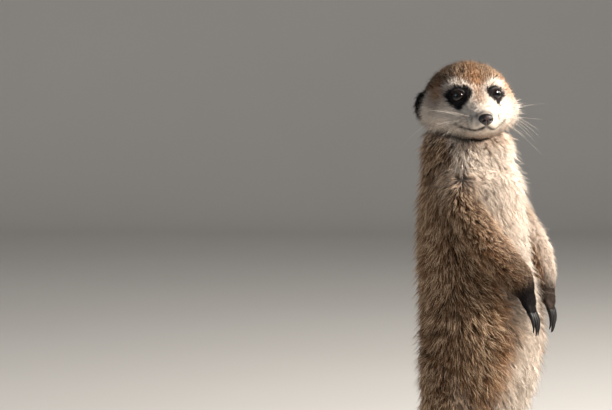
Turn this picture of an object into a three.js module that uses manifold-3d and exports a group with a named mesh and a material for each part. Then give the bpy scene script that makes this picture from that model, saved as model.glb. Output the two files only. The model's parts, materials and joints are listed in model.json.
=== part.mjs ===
// A meerkat standing upright on its hind feet and tail, life size, in millimetres.
// +Z is up, the chest faces -Y and the animal's left is +X. Every solid reaches to the tips of the coat.
import * as THREE from 'three';
import { LoftGeometry } from 'three/addons/geometries/LoftGeometry.js';
import { mergeVertices } from 'three/addons/utils/BufferGeometryUtils.js';
import Module from 'manifold-3d';

const wasm = await Module();
wasm.setup();

// ---- driving dimensions ----
const gap = 0.3; // left between pieces that touch
const middle = [0.2, 66.6]; // x and y of the middle of the whole figure, from between the feet
const headCentre = new THREE.Vector3(-2, 0.5, 291);
const headTurn = THREE.MathUtils.degToRad(-46); // towards the animal's right
const headNod = THREE.MathUtils.degToRad(1); // nose down
const headTilt = THREE.MathUtils.degToRad(-3); // left side up
const eyeRadius = 5;
const eyeAt = new THREE.Vector3(10.2, -19.4, 4.3); // centre of the left eye, from the head's centre
const noseAt = new THREE.Vector3(0, -43.6, -8.4);
const floorReach = 400; // size of the block that trims soles flat

// Each station is x, y, z, half width, reach to the belly side and reach to the back.
const trunkStations = [
  [-1, 2.5, 284, 23.5, 22, 26],
  [-0.5, 2.5, 266, 25, 24, 26.5],
  [0, 1.5, 252, 27.8, 27, 28],
  [0, 0.3, 238, 30.5, 30.5, 30.3],
  [0, -1, 217, 31.8, 32, 33],
  [0, -4, 190, 33.5, 33.5, 35],
  [0, -7.5, 160, 35.5, 37, 36],
  [0, -5, 136, 33, 36.5, 34.5],
  [0, 0, 115, 28.5, 34, 31.5],
  [0, 6, 98, 21, 22, 23],
];
const neckBottom = 3.1; // station number at which the neck ends
const tailStations = [
  [0, 15, 112, 12.5, 12.5, 12.5],
  [0, 25, 95, 12.6, 12.6, 12.6],
  [0, 36, 72, 11.6, 11.6, 11.6],
  [1.5, 50, 45, 10.2, 10.2, 10.2],
  [4, 68, 20.5, 9.2, 9.2, 9.2],
  [8, 92, 9.0, 8.4, 9.4, 8.4],
  [13, 122, 7.3, 7.5, 7.8, 7.5],
  [19, 152, 6.4, 6.7, 6.8, 6.7],
  [25, 184, 5.0, 5.0, 5.4, 5.0],
];
const tailCuts = [3.2, 6.4]; // station numbers between the tail's three lengths

// The head's stations run from the nose to the nape, from the head's centre, before it is turned.
const headStations = [
  [0, -44.5, -9.2, 4.6, 3.6, 4.4],
  [0, -40.5, -9.5, 7.2, 6.2, 6.6],
  [0, -34, -9.6, 10.4, 8.4, 9.8],
  [0, -27, -9.0, 15.0, 10.2, 15.8],
  [0, -20, -7.8, 20.6, 12.6, 22.2],
  [0, -12, -6.0, 25.4, 14.8, 26.8],
  [0, -3, -4.6, 28.2, 17.4, 28.6],
  [0, 7, -3.2, 28.4, 19.6, 27.6],
  [0, 16, -1.4, 25.4, 20.6, 24.2],
  [0, 24, 0, 18.4, 17.0, 17.6],
];
// Soft swellings and hollows of the head: centre, reach and height. Each is made on both sides.
const headForms = [
  [[12, -22, 5.6], 6.5, -1.4], // eye hollow
  [[11.5, -15, 14.5], 7, 0.6], // brow
  [[27, -3, 8], 8, -1.5], // temple
  [[26, -6, -10], 11, 1.4], // cheek
  [[7, -38, -10.5], 5, 0.7], // whisker pad
];
const earStations = [
  [24.2, 9.0, 6.0, 2.2, 1.5, 1.5],
  [25.6, 10.6, 3.8, 3.8, 2.1, 2.1],
  [26.6, 11.4, -0.8, 5.0, 2.4, 2.4],
  [26.2, 10.8, -6.0, 4.2, 2.2, 2.2],
  [24.8, 8.8, -10.0, 2.2, 1.5, 1.5],
];

// Arms as posed: the right wrist is lifted, the left forearm hangs straight down.
const armStations = {
  right: [
    [-18, -4, 243, 11, 12, 11],
    [-25, -11, 229, 11.6, 12, 11.6],
    [-27, -24, 213, 11.4, 12, 11.6],
    [-26.5, -33, 202.5, 11.6, 12, 12],
    [-22, -39, 194.5, 10.8, 11, 11],
    [-17, -43.8, 186.7, 9.2, 9.2, 9.2],
    [-14.6, -46.6, 180.5, 7.0, 6.2, 6.2],
  ],
  left: [
    [18, -2, 243, 11, 12, 11],
    [24.5, -10, 228, 11.4, 12, 11.4],
    [27, -20, 213, 10.8, 11.2, 11],
    [26.5, -29, 202, 10.2, 10.4, 10.4],
    [23.5, -35, 192, 9, 9.2, 9.2],
    [20.5, -39, 183.5, 7.4, 7.4, 7.4],
    [18.6, -41.2, 178.5, 6.2, 5.8, 5.8],
  ],
};
const armCut = 3.05; // station number of the elbow cut
const hands = {
  right: {
    stations: [
      [-14.6, -46.8, 180, 6.2, 5.4, 5.4],
      [-13.6, -48.0, 175, 6.4, 4.4, 4.2],
      [-13.2, -48.5, 172, 6.2, 3.8, 3.6],
    ],
    across: [0.97, 0.22, 0],
    reach: [0.2, -1.2, -3.8],
    clawSlope: 0.6,
  },
  left: {
    stations: [
      [18.6, -41.4, 178.3, 5.8, 5.2, 5.2],
      [17.6, -43.2, 174, 6.2, 4.4, 4.2],
      [17.0, -44.2, 171.4, 6.0, 3.8, 3.6],
    ],
    across: [0.96, 0.28, 0],
    reach: [-0.6, -1.4, -3.8],
    clawSlope: 0.42,
  },
};
const legStations = [
  [15, 4, 137, 19, 20, 19],
  [20, 1, 117, 18, 19, 18.5],
  [23.3, -4, 98, 16, 17.5, 17.5],
  [25.5, -12, 80, 13.4, 14.5, 15.5],
  [26, -13, 66, 11.4, 12, 13.5],
  [25.6, -2, 46, 9.2, 9.8, 10],
  [25, 8.5, 29, 7.8, 8.2, 7.8],
  [25, 12, 17, 7.4, 8, 7.2],
];
const legCuts = [3.4, 6.4]; // station numbers of the knee and the heel cuts
const footStations = [
  [25, 13.5, 8.6, 6.6, 6.4, 9.7],
  [25.4, 0, 9.0, 7.6, 6.6, 10.1],
  [26.2, -15, 7.8, 8.8, 5.6, 8.9],
  [27, -28, 6.0, 9.2, 4.8, 7.1],
];
const toesAhead = [0.6, -11.5, -1.2];
const digits = 4;
const skinTones = {
  coat: 0x9a7a5a,
  pale: 0xd9c3a6,
  dark: 0x2a1e18,
  claw: 0x14100e,
  eye: 0x22120a,
};

// ---- shaping ----
// Points of a path at equal steps between stations, with the side and belly directions of each section.
// A section stands square to the path, or to the one direction given for all of them.
function framesAlong(stations, side, stepsPerSpan, facing = null) {
  const centres = new THREE.CatmullRomCurve3(
    stations.map((s) => new THREE.Vector3(s[0], s[1], s[2])), false, 'catmullrom', 0.5);
  const reaches = new THREE.CatmullRomCurve3(
    stations.map((s) => new THREE.Vector3(s[3], s[4], s[5])), false, 'catmullrom', 0.5);
  const count = (stations.length - 1) * stepsPerSpan;
  return Array.from({ length: count + 1 }, (_, i) => {
    const along = facing ?? centres.getTangent(i / count);
    const across = side.clone().addScaledVector(along, -side.dot(along)).normalize();
    return {
      centre: centres.getPoint(i / count),
      reach: reaches.getPoint(i / count),
      along,
      across,
      belly: new THREE.Vector3().crossVectors(along, across),
    };
  });
}

function sectionPoints(frame, sides, grow, scale = 1, ahead = 0) {
  return Array.from({ length: sides }, (_, i) => {
    const angle = (2 * Math.PI * i) / sides;
    const depth = Math.sin(angle) > 0 ? frame.reach.y : frame.reach.z;
    return frame.centre.clone()
      .addScaledVector(frame.along, ahead)
      .addScaledVector(frame.across, scale * (frame.reach.x + grow) * Math.cos(angle))
      .addScaledVector(frame.belly, scale * (depth + grow) * Math.sin(angle));
  });
}

// An oval section carried along its stations, with a dome of the given length on each end.
function limb(stations, options) {
  const { side = [1, 0, 0], sides = 16, steps = 2, domes = [4, 4], rings = 2, grow = 0 } = options;
  const { forms = [], facing } = options;
  const frames = framesAlong(stations, new THREE.Vector3(...side), steps, facing);
  const first = frames[0];
  const last = frames[frames.length - 1];
  const domeAngles = (rings === 2 ? [0.2, 0.62] : [0.5]).map((share) => (share * Math.PI) / 2);
  const start = domeAngles.map((a) =>
    sectionPoints(first, sides, grow, Math.sin(a), -(domes[0] + grow) * Math.cos(a)));
  const end = domeAngles.map((a) =>
    sectionPoints(last, sides, grow, Math.sin(a), (domes[1] + grow) * Math.cos(a))).reverse();
  const sections = [...start, ...frames.map((f) => sectionPoints(f, sides, grow)), ...end];
  for (const section of sections) for (const point of section) press(point, forms);
  return solidOf(new LoftGeometry(sections, { capStart: true, capEnd: true }));
}

// Moves a point of the head outwards or inwards by its soft forms, away from the head's middle line.
function press(point, forms) {
  const middle = new THREE.Vector3(0, point.y, -5);
  const outwards = point.clone().sub(middle).normalize();
  let lift = 0;
  for (const [at, reach, height] of forms) {
    for (const side of [1, -1]) {
      const away = point.distanceTo(new THREE.Vector3(side * at[0], at[1], at[2]));
      lift += height * Math.exp(-((away / reach) ** 2));
    }
  }
  point.addScaledVector(outwards, lift);
}

function solidOf(geometry) {
  const bare = new THREE.BufferGeometry();
  bare.setAttribute('position', geometry.getAttribute('position'));
  bare.setIndex(geometry.getIndex());
  const merged = mergeVertices(bare, 1e-4);
  return new wasm.Manifold(new wasm.Mesh({
    numProp: 3,
    vertProperties: new Float32Array(merged.attributes.position.array),
    triVerts: new Uint32Array(merged.index.array),
  }));
}

function largest(solid) {
  return solid.decompose().reduce((a, b) => (a.volume() > b.volume() ? a : b));
}

function without(solid, ...others) {
  return largest(others.reduce((left, other) => left.subtract(other), solid));
}

function placed(solid, matrix) {
  return solid.transform(matrix.elements);
}

const floorBlock = solidOf(
  new THREE.BoxGeometry(floorReach, floorReach, floorReach).translate(0, 0, -floorReach / 2));
function flatSoled(solid) {
  return solid.subtract(floorBlock);
}

// A thin disc across a limb at a station number, which parts it there.
function partAt(stations, number, radius, side = [1, 0, 0]) {
  const steps = 20;
  const frames = framesAlong(stations, new THREE.Vector3(...side), steps);
  const frame = frames[Math.round(number * steps)];
  const disc = new THREE.CylinderGeometry(radius, radius, gap, 12);
  const turn = new THREE.Quaternion().setFromUnitVectors(new THREE.Vector3(0, 1, 0), frame.along);
  disc.applyQuaternion(turn).translate(...frame.centre);
  return solidOf(disc);
}

// Cuts a limb at discs and gives its lengths in order from its first station.
function lengthsOf(solid, stations, cuts, radius) {
  const start = new THREE.Vector3(...stations[0].slice(0, 3));
  const parted = cuts.reduce((left, cut) => left.subtract(partAt(stations, cut, radius)), solid);
  return parted.decompose()
    .sort((a, b) => b.volume() - a.volume())
    .slice(0, cuts.length + 1)
    .map((piece) => ({ piece, away: startDistance(piece, start) }))
    .sort((a, b) => a.away - b.away)
    .map(({ piece }) => piece);
}

function startDistance(piece, start) {
  const box = piece.boundingBox();
  const middle = new THREE.Vector3(...box.min).add(new THREE.Vector3(...box.max)).multiplyScalar(0.5);
  return middle.distanceTo(start);
}

// ---- the model ----
const model = new THREE.Group();

function addNode(name, solid, tone, roughness = 0.9) {
  const { vertProperties, triVerts } = solid.getMesh();
  const geometry = new THREE.BufferGeometry();
  geometry.setAttribute('position', new THREE.BufferAttribute(new Float32Array(vertProperties), 3));
  geometry.setIndex(new THREE.BufferAttribute(new Uint32Array(triVerts), 1));
  geometry.computeVertexNormals();
  const material = new THREE.MeshStandardMaterial({ color: skinTones[tone], roughness, metalness: 0 });
  const mesh = new THREE.Mesh(geometry, material);
  mesh.name = name;
  model.add(mesh);
}

function mirrored(rows) {
  return rows.map(([x, ...rest]) => [-x, ...rest]);
}

// ---- head ----
const headPlace = new THREE.Matrix4().compose(
  headCentre,
  new THREE.Quaternion().setFromEuler(new THREE.Euler(headNod, headTilt, headTurn, 'ZXY')),
  new THREE.Vector3(1, 1, 1));

function headForm(grow) {
  const facing = new THREE.Vector3(0, 1, 0);
  return limb(headStations, { sides: 22, steps: 2, domes: [1.6, 5.5], grow, forms: headForms, facing });
}

function eyeBall(side, grow) {
  const ball = new THREE.SphereGeometry(eyeRadius + grow, 12, 7);
  return solidOf(ball.translate(side * eyeAt.x, eyeAt.y, eyeAt.z));
}

function nosePad(grow) {
  const pad = new THREE.SphereGeometry(1, 10, 6);
  return solidOf(pad.scale(4.6 + grow, 3.6 + grow, 3.7 + grow).translate(...noseAt));
}

function earFlap(side, grow) {
  const rows = side > 0 ? earStations : mirrored(earStations);
  return limb(rows, { side: [side * 0.93, 0.36, 0], sides: 10, steps: 1, domes: [1, 1], rings: 1, grow });
}

const sideNames = [['left', 1], ['right', -1]];
let skull = headForm(0).subtract(nosePad(gap));
for (const [name, side] of sideNames) {
  skull = skull.subtract(eyeBall(side, gap));
  const ear = without(earFlap(side, 0), headForm(gap));
  addNode(`ear_${name}`, placed(ear, headPlace), 'dark');
  addNode(`eye_${name}`, placed(eyeBall(side, 0), headPlace), 'eye', 0.1);
}
addNode('nose', placed(nosePad(0), headPlace), 'dark', 0.4);
addNode('head', placed(largest(skull), headPlace), 'pale');

// ---- neck, trunk and tail ----
function trunkForm(grow) {
  return limb(trunkStations, { sides: 20, steps: 2, domes: [3, 7], grow });
}
const headGrown = placed(headForm(gap), headPlace);
const body = without(trunkForm(0), headGrown);
const [neck, trunk] = lengthsOf(body, trunkStations, [neckBottom], 60);
addNode('neck', neck, 'pale');
addNode('trunk', trunk, 'coat');

const tailForm = limb(tailStations, { sides: 10, steps: 2, domes: [4, 5], rings: 1 });
const tailLengths = lengthsOf(
  flatSoled(without(tailForm, trunkForm(gap))), tailStations, tailCuts, 18);
['tail_base', 'tail_middle', 'tail_tip'].forEach((name, i) => {
  addNode(name, tailLengths[i], i === 2 ? 'dark' : 'coat');
});

// ---- digits and claws ----
// A hooked claw from its root, along its first direction and bending towards the hook.
function claw(root, ahead, hook, length, thickness, bend = 0.8) {
  const radius = length / bend;
  const rows = [0, 0.35, 0.7, 1].map((share) => {
    const at = root.clone()
      .addScaledVector(ahead, radius * Math.sin(share * bend))
      .addScaledVector(hook, radius * (1 - Math.cos(share * bend)));
    const thick = thickness * (1 - 0.78 * share ** 1.4);
    return [at.x, at.y, at.z, thick * 0.8, thick, thick];
  });
  const side = new THREE.Vector3().crossVectors(ahead, hook).normalize();
  return limb(rows, { side: side.toArray(), sides: 6, steps: 1, domes: [0.5, 0.3], rings: 1 });
}

// Four digits fanned over a foot's end, as solids grown by the given amount, and the claws at their tips.
function fan({ knuckles, across, reach, spread, fanOut, thick, ahead, hook, clawLength, clawThick }) {
  const paths = Array.from({ length: digits }, (_, i) => {
    const place = i - (digits - 1) / 2;
    const longer = 1 + 0.14 * (1.5 - Math.abs(place));
    const root = knuckles.clone().addScaledVector(across, place * spread);
    const tip = root.clone().addScaledVector(reach, longer).addScaledVector(across, place * fanOut);
    return { root, middle: root.clone().lerp(tip, 0.5).addScaledVector(hook, -0.6), tip, longer };
  });
  const joined = (grow) => paths.map(({ root, middle, tip }) => {
    const rows = [root, middle, tip].map((p, n) => {
      const size = thick * [1, 1, 0.82][n];
      return [p.x, p.y, p.z, size, size, size];
    });
    return limb(rows, { side: across.toArray(), sides: 6, steps: 1, domes: [1, 1.6], rings: 1, grow });
  }).reduce((a, b) => a.add(b));
  const claws = paths.map(({ tip, longer }) =>
    claw(tip.clone().addScaledVector(hook, -0.4), ahead, hook, clawLength * longer, clawThick));
  return { joined, claws };
}

function addClaws(name, claws, flesh) {
  claws.forEach((one, i) => addNode(`claw_${name}_${i + 1}`, without(one, flesh), 'claw', 0.35));
}

// ---- arms ----
for (const [name, side] of sideNames) {
  const rows = armStations[name];
  const { stations, across, reach, clawSlope } = hands[name];
  const clawDrop = Math.sqrt(1 - clawSlope ** 2);
  const arm = limb(rows, { sides: 10, steps: 1, domes: [6, 2] });
  const free = without(arm, trunkForm(gap));
  const [upper, fore] = lengthsOf(free, rows, [armCut], 20);
  const knuckles = new THREE.Vector3(...stations[2].slice(0, 3));
  const { joined, claws } = fan({
    knuckles,
    across: new THREE.Vector3(...across).normalize(),
    reach: new THREE.Vector3(...reach),
    spread: 3.3,
    fanOut: 0.3,
    thick: 2.3,
    clawLength: 12,
    clawThick: 1.5,
    ahead: new THREE.Vector3(0, -clawSlope, -clawDrop),
    hook: new THREE.Vector3(0, clawDrop, -clawSlope),
  });
  const palm = (grow) => limb(stations, { sides: 8, steps: 1, domes: [1.5, 1], rings: 1, grow }).add(joined(grow));
  addNode(`upper_arm_${name}`, upper, 'coat');
  addNode(`forearm_${name}`, fore, 'coat');
  const armGrown = limb(rows, { sides: 10, steps: 1, domes: [6, 2], grow: gap });
  addNode(`hand_${name}`, without(palm(0), armGrown, trunkForm(gap)), 'coat');
  addClaws(`hand_${name}`, claws, palm(gap));
}

// ---- legs and feet ----
for (const [name, side] of sideNames) {
  const sided = (rows) => (side > 0 ? rows : mirrored(rows));
  const leg = limb(sided(legStations), { sides: 13, steps: 1, domes: [8, 5], rings: 1 });
  const free = without(leg, trunkForm(gap));
  const [thigh, shank, heel] = lengthsOf(free, sided(legStations), legCuts, 26);
  const sole = (grow) => limb(sided(footStations), { sides: 10, steps: 1, domes: [4, 2], rings: 1, grow });
  const ball = footStations[footStations.length - 1];
  const { joined, claws } = fan({
    knuckles: new THREE.Vector3(side * ball[0], ball[1], 3.8),
    across: new THREE.Vector3(side, 0.12, 0).normalize(),
    reach: new THREE.Vector3(side * toesAhead[0], toesAhead[1], toesAhead[2]),
    spread: 4.4,
    fanOut: 0.7,
    thick: 3.3,
    clawLength: 8,
    clawThick: 1.5,
    ahead: new THREE.Vector3(0, -0.97, -0.24),
    hook: new THREE.Vector3(0, 0.24, -0.97),
  });
  addNode(`thigh_${name}`, thigh, 'coat');
  addNode(`shank_${name}`, shank, 'coat');
  addNode(`foot_${name}`, largest(flatSoled(sole(0).add(heel).add(joined(0)))), 'coat');
  addClaws(`foot_${name}`, claws.map(flatSoled), sole(gap).add(joined(gap)));
}

model.position.set(-middle[0], -middle[1], 0);
export default model;
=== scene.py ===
import json
import math
import time
import bpy
import numpy as np
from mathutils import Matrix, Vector
from mathutils.bvhtree import BVHTree

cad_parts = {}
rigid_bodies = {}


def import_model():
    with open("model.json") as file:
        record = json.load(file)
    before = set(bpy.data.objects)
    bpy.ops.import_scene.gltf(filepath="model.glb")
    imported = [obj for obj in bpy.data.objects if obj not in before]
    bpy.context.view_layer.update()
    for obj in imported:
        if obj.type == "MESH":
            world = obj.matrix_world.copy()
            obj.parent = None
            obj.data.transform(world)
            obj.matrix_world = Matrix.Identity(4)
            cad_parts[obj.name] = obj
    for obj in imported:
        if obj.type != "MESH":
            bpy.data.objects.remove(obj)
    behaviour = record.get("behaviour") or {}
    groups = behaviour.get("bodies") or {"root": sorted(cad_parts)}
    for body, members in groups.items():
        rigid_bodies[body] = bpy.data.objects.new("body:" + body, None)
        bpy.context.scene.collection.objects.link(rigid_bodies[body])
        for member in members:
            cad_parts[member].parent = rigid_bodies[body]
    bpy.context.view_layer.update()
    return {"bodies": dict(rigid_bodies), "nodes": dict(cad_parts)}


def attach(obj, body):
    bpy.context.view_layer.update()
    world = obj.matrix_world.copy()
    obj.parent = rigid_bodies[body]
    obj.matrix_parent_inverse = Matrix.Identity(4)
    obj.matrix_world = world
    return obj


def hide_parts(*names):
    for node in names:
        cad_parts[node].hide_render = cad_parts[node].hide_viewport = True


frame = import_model()
clock = time.time()


def report(words):
    # one line on each stage, with the seconds since the start
    print(f"[meerkat] {words} ({time.time() - clock:.0f} s)")


# everything below is worked out in the body's own millimetres, then shifted and scaled once
mm = 0.001
bodyShift = np.array([0.2, 66.6, 0.0])

# camera and light
cameraSetup = {
    "target": (-0.0570, 0.0145, 0.2290), "azimuth": -55.0, "elevation": 4.0,
    "distance": 1.6, "lens": 157.0, "sensor": 36.0,
}
lightSetup = {  # direction is azimuth off the camera's, towards its right, then elevation
    "sun": {"turn": 70, "rise": 36, "away": 1.5, "size": 0.36, "power": 68, "colour": (1.0, 0.94, 0.87)},
    "sky": {"turn": -55, "rise": 25, "away": 1.9, "size": 1.0, "power": 5, "colour": (0.70, 0.84, 1.0)},
    "rim": {"turn": 125, "rise": 22, "away": 1.7, "size": 0.5, "power": 9, "colour": (1.0, 0.93, 0.84)},
}
worldGlow = {"colour": (0.86, 0.88, 0.92), "strength": 0.16}


def towards(azimuth, elevation):
    # unit direction seen from the object: azimuth 0 is -Y, turning towards +X
    a, e = math.radians(azimuth), math.radians(elevation)
    return np.array([math.sin(a) * math.cos(e), -math.cos(a) * math.cos(e), math.sin(e)])


def aim(thing, place, target):
    # puts a camera or lamp at a place, its -Z axis towards the target
    thing.location = place
    thing.rotation_euler = (Vector(target) - Vector(place)).to_track_quat("-Z", "Y").to_euler()


def addCamera(setup):
    # stands at target plus distance along the direction of the azimuth and elevation
    data = bpy.data.cameras.new("camera")
    data.lens, data.sensor_width = setup["lens"], setup["sensor"]
    data.clip_start, data.clip_end = 0.05, 20
    camera = bpy.data.objects.new("camera", data)
    bpy.context.scene.collection.objects.link(camera)
    target = np.array(setup["target"])
    place = target + towards(setup["azimuth"], setup["elevation"]) * setup["distance"]
    aim(camera, Vector(place), Vector(target))
    bpy.context.scene.camera = camera


def addLights(setup, cameraAzimuth, target=(0, -0.02, 0.2)):
    # round lamps, each turned from the camera's azimuth and aimed at the chest
    for name, one in setup.items():
        data = bpy.data.lights.new(name, "AREA")
        data.shape, data.size = "DISK", one["size"]
        data.energy, data.color = one["power"], one["colour"]
        lamp = bpy.data.objects.new(name, data)
        lamp.visible_camera = False
        bpy.context.scene.collection.objects.link(lamp)
        place = np.array(target) + towards(cameraAzimuth + one["turn"], one["rise"]) * one["away"]
        aim(lamp, Vector(place), Vector(target))


addCamera(cameraSetup)
addLights(lightSetup, cameraSetup["azimuth"])
world = bpy.data.worlds.new("studio")
bpy.context.scene.world = world
world.use_nodes = True
world.node_tree.nodes["Background"].inputs["Color"].default_value = (*worldGlow["colour"], 1)
world.node_tree.nodes["Background"].inputs["Strength"].default_value = worldGlow["strength"]
bpy.context.scene.view_settings.view_transform = "Standard"
report("camera and light")


# small tools on arrays
def unit(v):
    # each vector over its own length
    return v / np.maximum(np.linalg.norm(v, axis=-1, keepdims=True), 1e-9)


def dot(a, b):
    # sum of the products along the last axis, which is kept
    return np.sum(a * b, axis=-1, keepdims=True)


def smooth(low, high, x):
    # 0 below low, 1 above high, an S curve between
    t = np.clip((x - low) / (high - low), 0, 1)
    return t * t * (3 - 2 * t)


def hump(x, centre, width):
    # bell: exp of minus the squared distance from the centre in widths
    return np.exp(-(((x - centre) / width) ** 2))


def spline(rows, steps):
    # uniform Catmull-Rom through the rows, end tangents mirrored: points and slopes
    rows = np.asarray(rows, float)
    p = np.vstack([2 * rows[0] - rows[1], rows, 2 * rows[-1] - rows[-2]])
    spans = len(rows) - 1
    u = np.linspace(0, spans, spans * steps + 1)
    i = np.minimum(u.astype(int), spans - 1)
    t = (u - i)[:, None]
    p0, p1, p2, p3 = p[i], p[i + 1], p[i + 2], p[i + 3]
    b, c = 2 * p0 - 5 * p1 + 4 * p2 - p3, 3 * p1 - p0 - 3 * p2 + p3
    points = 0.5 * (2 * p1 + (p2 - p0) * t + b * t * t + c * t ** 3)
    slopes = 0.5 * ((p2 - p0) + 2 * b * t + 3 * c * t * t)
    return points, slopes, u


def softNoise(p, scale, seed, octaves=2):
    # sum of sines along seeded random directions: a smooth field from about -1 to 1
    random = np.random.default_rng(seed)
    total = np.zeros(len(p))
    for octave in range(octaves):
        for _ in range(5):
            way = unit(random.normal(size=3)) * (2 ** octave) / scale
            total += np.sin(p @ way + random.uniform(0, 6.28)) / (2 ** octave)
    return total / 4.0


def gridFaces(rows, columns, wrap=True):
    # quads of a grid whose rows run along the path and whose columns run round it
    i = np.arange(rows - 1)[:, None]
    j = np.arange(columns if wrap else columns - 1)[None, :]
    k = (j + 1) % columns
    quads = np.stack([i * columns + j, i * columns + k, (i + 1) * columns + k, (i + 1) * columns + j], -1)
    return quads.reshape(-1, 4)


def closedTube(rings):
    # rings (n, sides, 3) with a pole at each end: points, quads and pole triangles, facing out
    n, sides, _ = rings.shape
    points = np.vstack([rings.reshape(-1, 3), rings[0].mean(0), rings[-1].mean(0)])
    quads = gridFaces(n, sides)
    j = np.arange(sides)
    k = (j + 1) % sides
    first = np.stack([np.full(sides, n * sides), k, j], -1)
    last = np.stack([np.full(sides, n * sides + 1), (n - 1) * sides + j, (n - 1) * sides + k], -1)
    return points, quads, np.vstack([first, last])


def signedVolume(points, triangles):
    # sum of a . (b x c) / 6, above 0 where the triangles face out
    a, b, c = points[triangles[:, 0]], points[triangles[:, 1]], points[triangles[:, 2]]
    return np.sum(a * np.cross(b, c)) / 6


def asTriangles(quads):
    # each quad cut along one diagonal
    return np.vstack([quads[:, [0, 1, 2]], quads[:, [0, 2, 3]]])


def facingOut(points, quads, triangles):
    # the same closed form, its faces turned over where it encloses a negative volume
    if signedVolume(points, np.vstack([asTriangles(quads), triangles])) < 0:
        return points, quads[:, ::-1], triangles[:, ::-1]
    return points, quads, triangles


def meshFrom(name, points, quads=None, triangles=None, inScene=False):
    # one mesh object from arrays, in the shared frame, object at the origin
    quads = np.zeros((0, 4), int) if quads is None else quads
    triangles = np.zeros((0, 3), int) if triangles is None else triangles
    points = points if inScene else (points - bodyShift) * mm
    mesh = bpy.data.meshes.new(name)
    mesh.vertices.add(len(points))
    mesh.vertices.foreach_set("co", points.astype(np.float32).ravel())
    corners = np.concatenate([quads.ravel(), triangles.ravel()]).astype(np.int32)
    mesh.loops.add(len(corners))
    mesh.loops.foreach_set("vertex_index", corners)
    starts = np.concatenate([np.arange(len(quads)) * 4, len(quads) * 4 + np.arange(len(triangles)) * 3])
    mesh.polygons.add(len(starts))
    mesh.polygons.foreach_set("loop_start", starts.astype(np.int32))
    mesh.polygons.foreach_set("use_smooth", np.full(len(starts), True))
    mesh.update(calc_edges=True)
    mesh.validate()
    piece = bpy.data.objects.new(name, mesh)
    bpy.context.scene.collection.objects.link(piece)
    return piece


def setColours(piece, name, values):
    # a colour attribute of four numbers at each vertex
    layer = piece.data.color_attributes.new(name, "FLOAT_COLOR", "POINT")
    layer.data.foreach_set("color", values.astype(np.float32).ravel())


def joinGrids(grids):
    # several (points, quads, triangles) as one, each turned to face out
    points, quads, triangles, base = [], [], [], 0
    for grid in grids:
        p, q, t = facingOut(*grid)
        points.append(p)
        quads.append(q + base)
        triangles.append(t + base)
        base += len(p)
    return np.vstack(points), np.vstack(quads), np.vstack(triangles)


# the body's stations
# each row: x, y, z, half width, reach to the belly, reach to the back, coat depth, hair length
trunkRows = np.array([
    [-1, 4.5, 284, 17.0, 13, 21, 2.0, 6.0], [-0.5, 2.5, 266, 25, 24, 26.5, 3.6, 7.0],
    [0, 1.5, 252, 27.8, 27, 28, 3.8, 7.6], [0, 0.3, 238, 30.5, 30.5, 30.3, 4.0, 8.4],
    [0, -1, 217, 31.8, 32, 33, 4.2, 8.6], [0, -4, 190, 33.5, 33.5, 35, 4.2, 8.8],
    [0, -7.5, 160, 35.5, 37, 36, 4.2, 9.0], [0, -5, 136, 33, 36.5, 34.5, 4.2, 9.0],
    [0, 0, 115, 28.5, 34, 31.5, 4.2, 9.0], [0, 6, 98, 21, 22, 23, 4.0, 8.5]])
tailRows = np.array([
    [0, 15, 112, 12.5, 12.5, 12.5, 3.0, 7.0], [0, 25, 95, 12.6, 12.6, 12.6, 3.0, 7.0],
    [0, 36, 72, 11.6, 11.6, 11.6, 2.8, 6.4], [1.5, 50, 45, 10.2, 10.2, 10.2, 2.6, 6.0],
    [4, 68, 20.5, 9.2, 9.2, 9.2, 2.4, 5.6], [8, 92, 9.0, 8.4, 9.4, 8.4, 2.2, 5.2],
    [13, 122, 7.3, 7.5, 7.8, 7.5, 2.0, 5.0], [19, 152, 6.4, 6.7, 6.8, 6.7, 1.9, 4.8],
    [25, 184, 5.0, 5.0, 5.4, 5.0, 1.7, 5.0]])
headRows = np.array([  # from the nose to the nape, before the head is turned
    [0, -44.5, -9.2, 4.6, 3.6, 4.4, 0.5, 0.8], [0, -40.5, -9.5, 7.2, 6.2, 6.6, 0.6, 1.1],
    [0, -34, -9.6, 10.4, 8.4, 9.8, 0.8, 1.7], [0, -27, -9.0, 15.0, 10.2, 15.8, 1.0, 2.2],
    [0, -20, -7.8, 20.6, 12.6, 22.2, 1.3, 2.8], [0, -12, -6.0, 25.4, 14.8, 26.8, 1.8, 3.3],
    [0, -3, -4.6, 28.2, 17.4, 28.6, 2.2, 3.9], [0, 7, -3.2, 28.4, 19.6, 27.6, 2.4, 4.4],
    [0, 16, -1.4, 25.4, 20.6, 24.2, 2.6, 5.4], [0, 24, 0, 18.4, 17.0, 17.6, 3.0, 6.4]])
headForms = [  # centre, reach, height, made on both sides
    ((12, -22, 5.6), 6.5, -1.4), ((11.5, -15, 14.5), 7, 0.6), ((27, -3, 8), 8, -1.5),
    ((26, -6, -10), 11, 1.4), ((7, -38, -10.5), 5, 0.7)]
earRows = np.array([
    [24.2, 9.0, 6.0, 2.2, 1.5, 1.5, 0.3, 1.6], [25.6, 10.6, 3.8, 3.8, 2.1, 2.1, 0.4, 1.6],
    [26.6, 11.4, -0.8, 5.0, 2.4, 2.4, 0.5, 1.6], [26.2, 10.8, -6.0, 4.2, 2.2, 2.2, 0.4, 1.6],
    [24.8, 8.8, -10.0, 2.2, 1.5, 1.5, 0.3, 1.6]])
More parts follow.
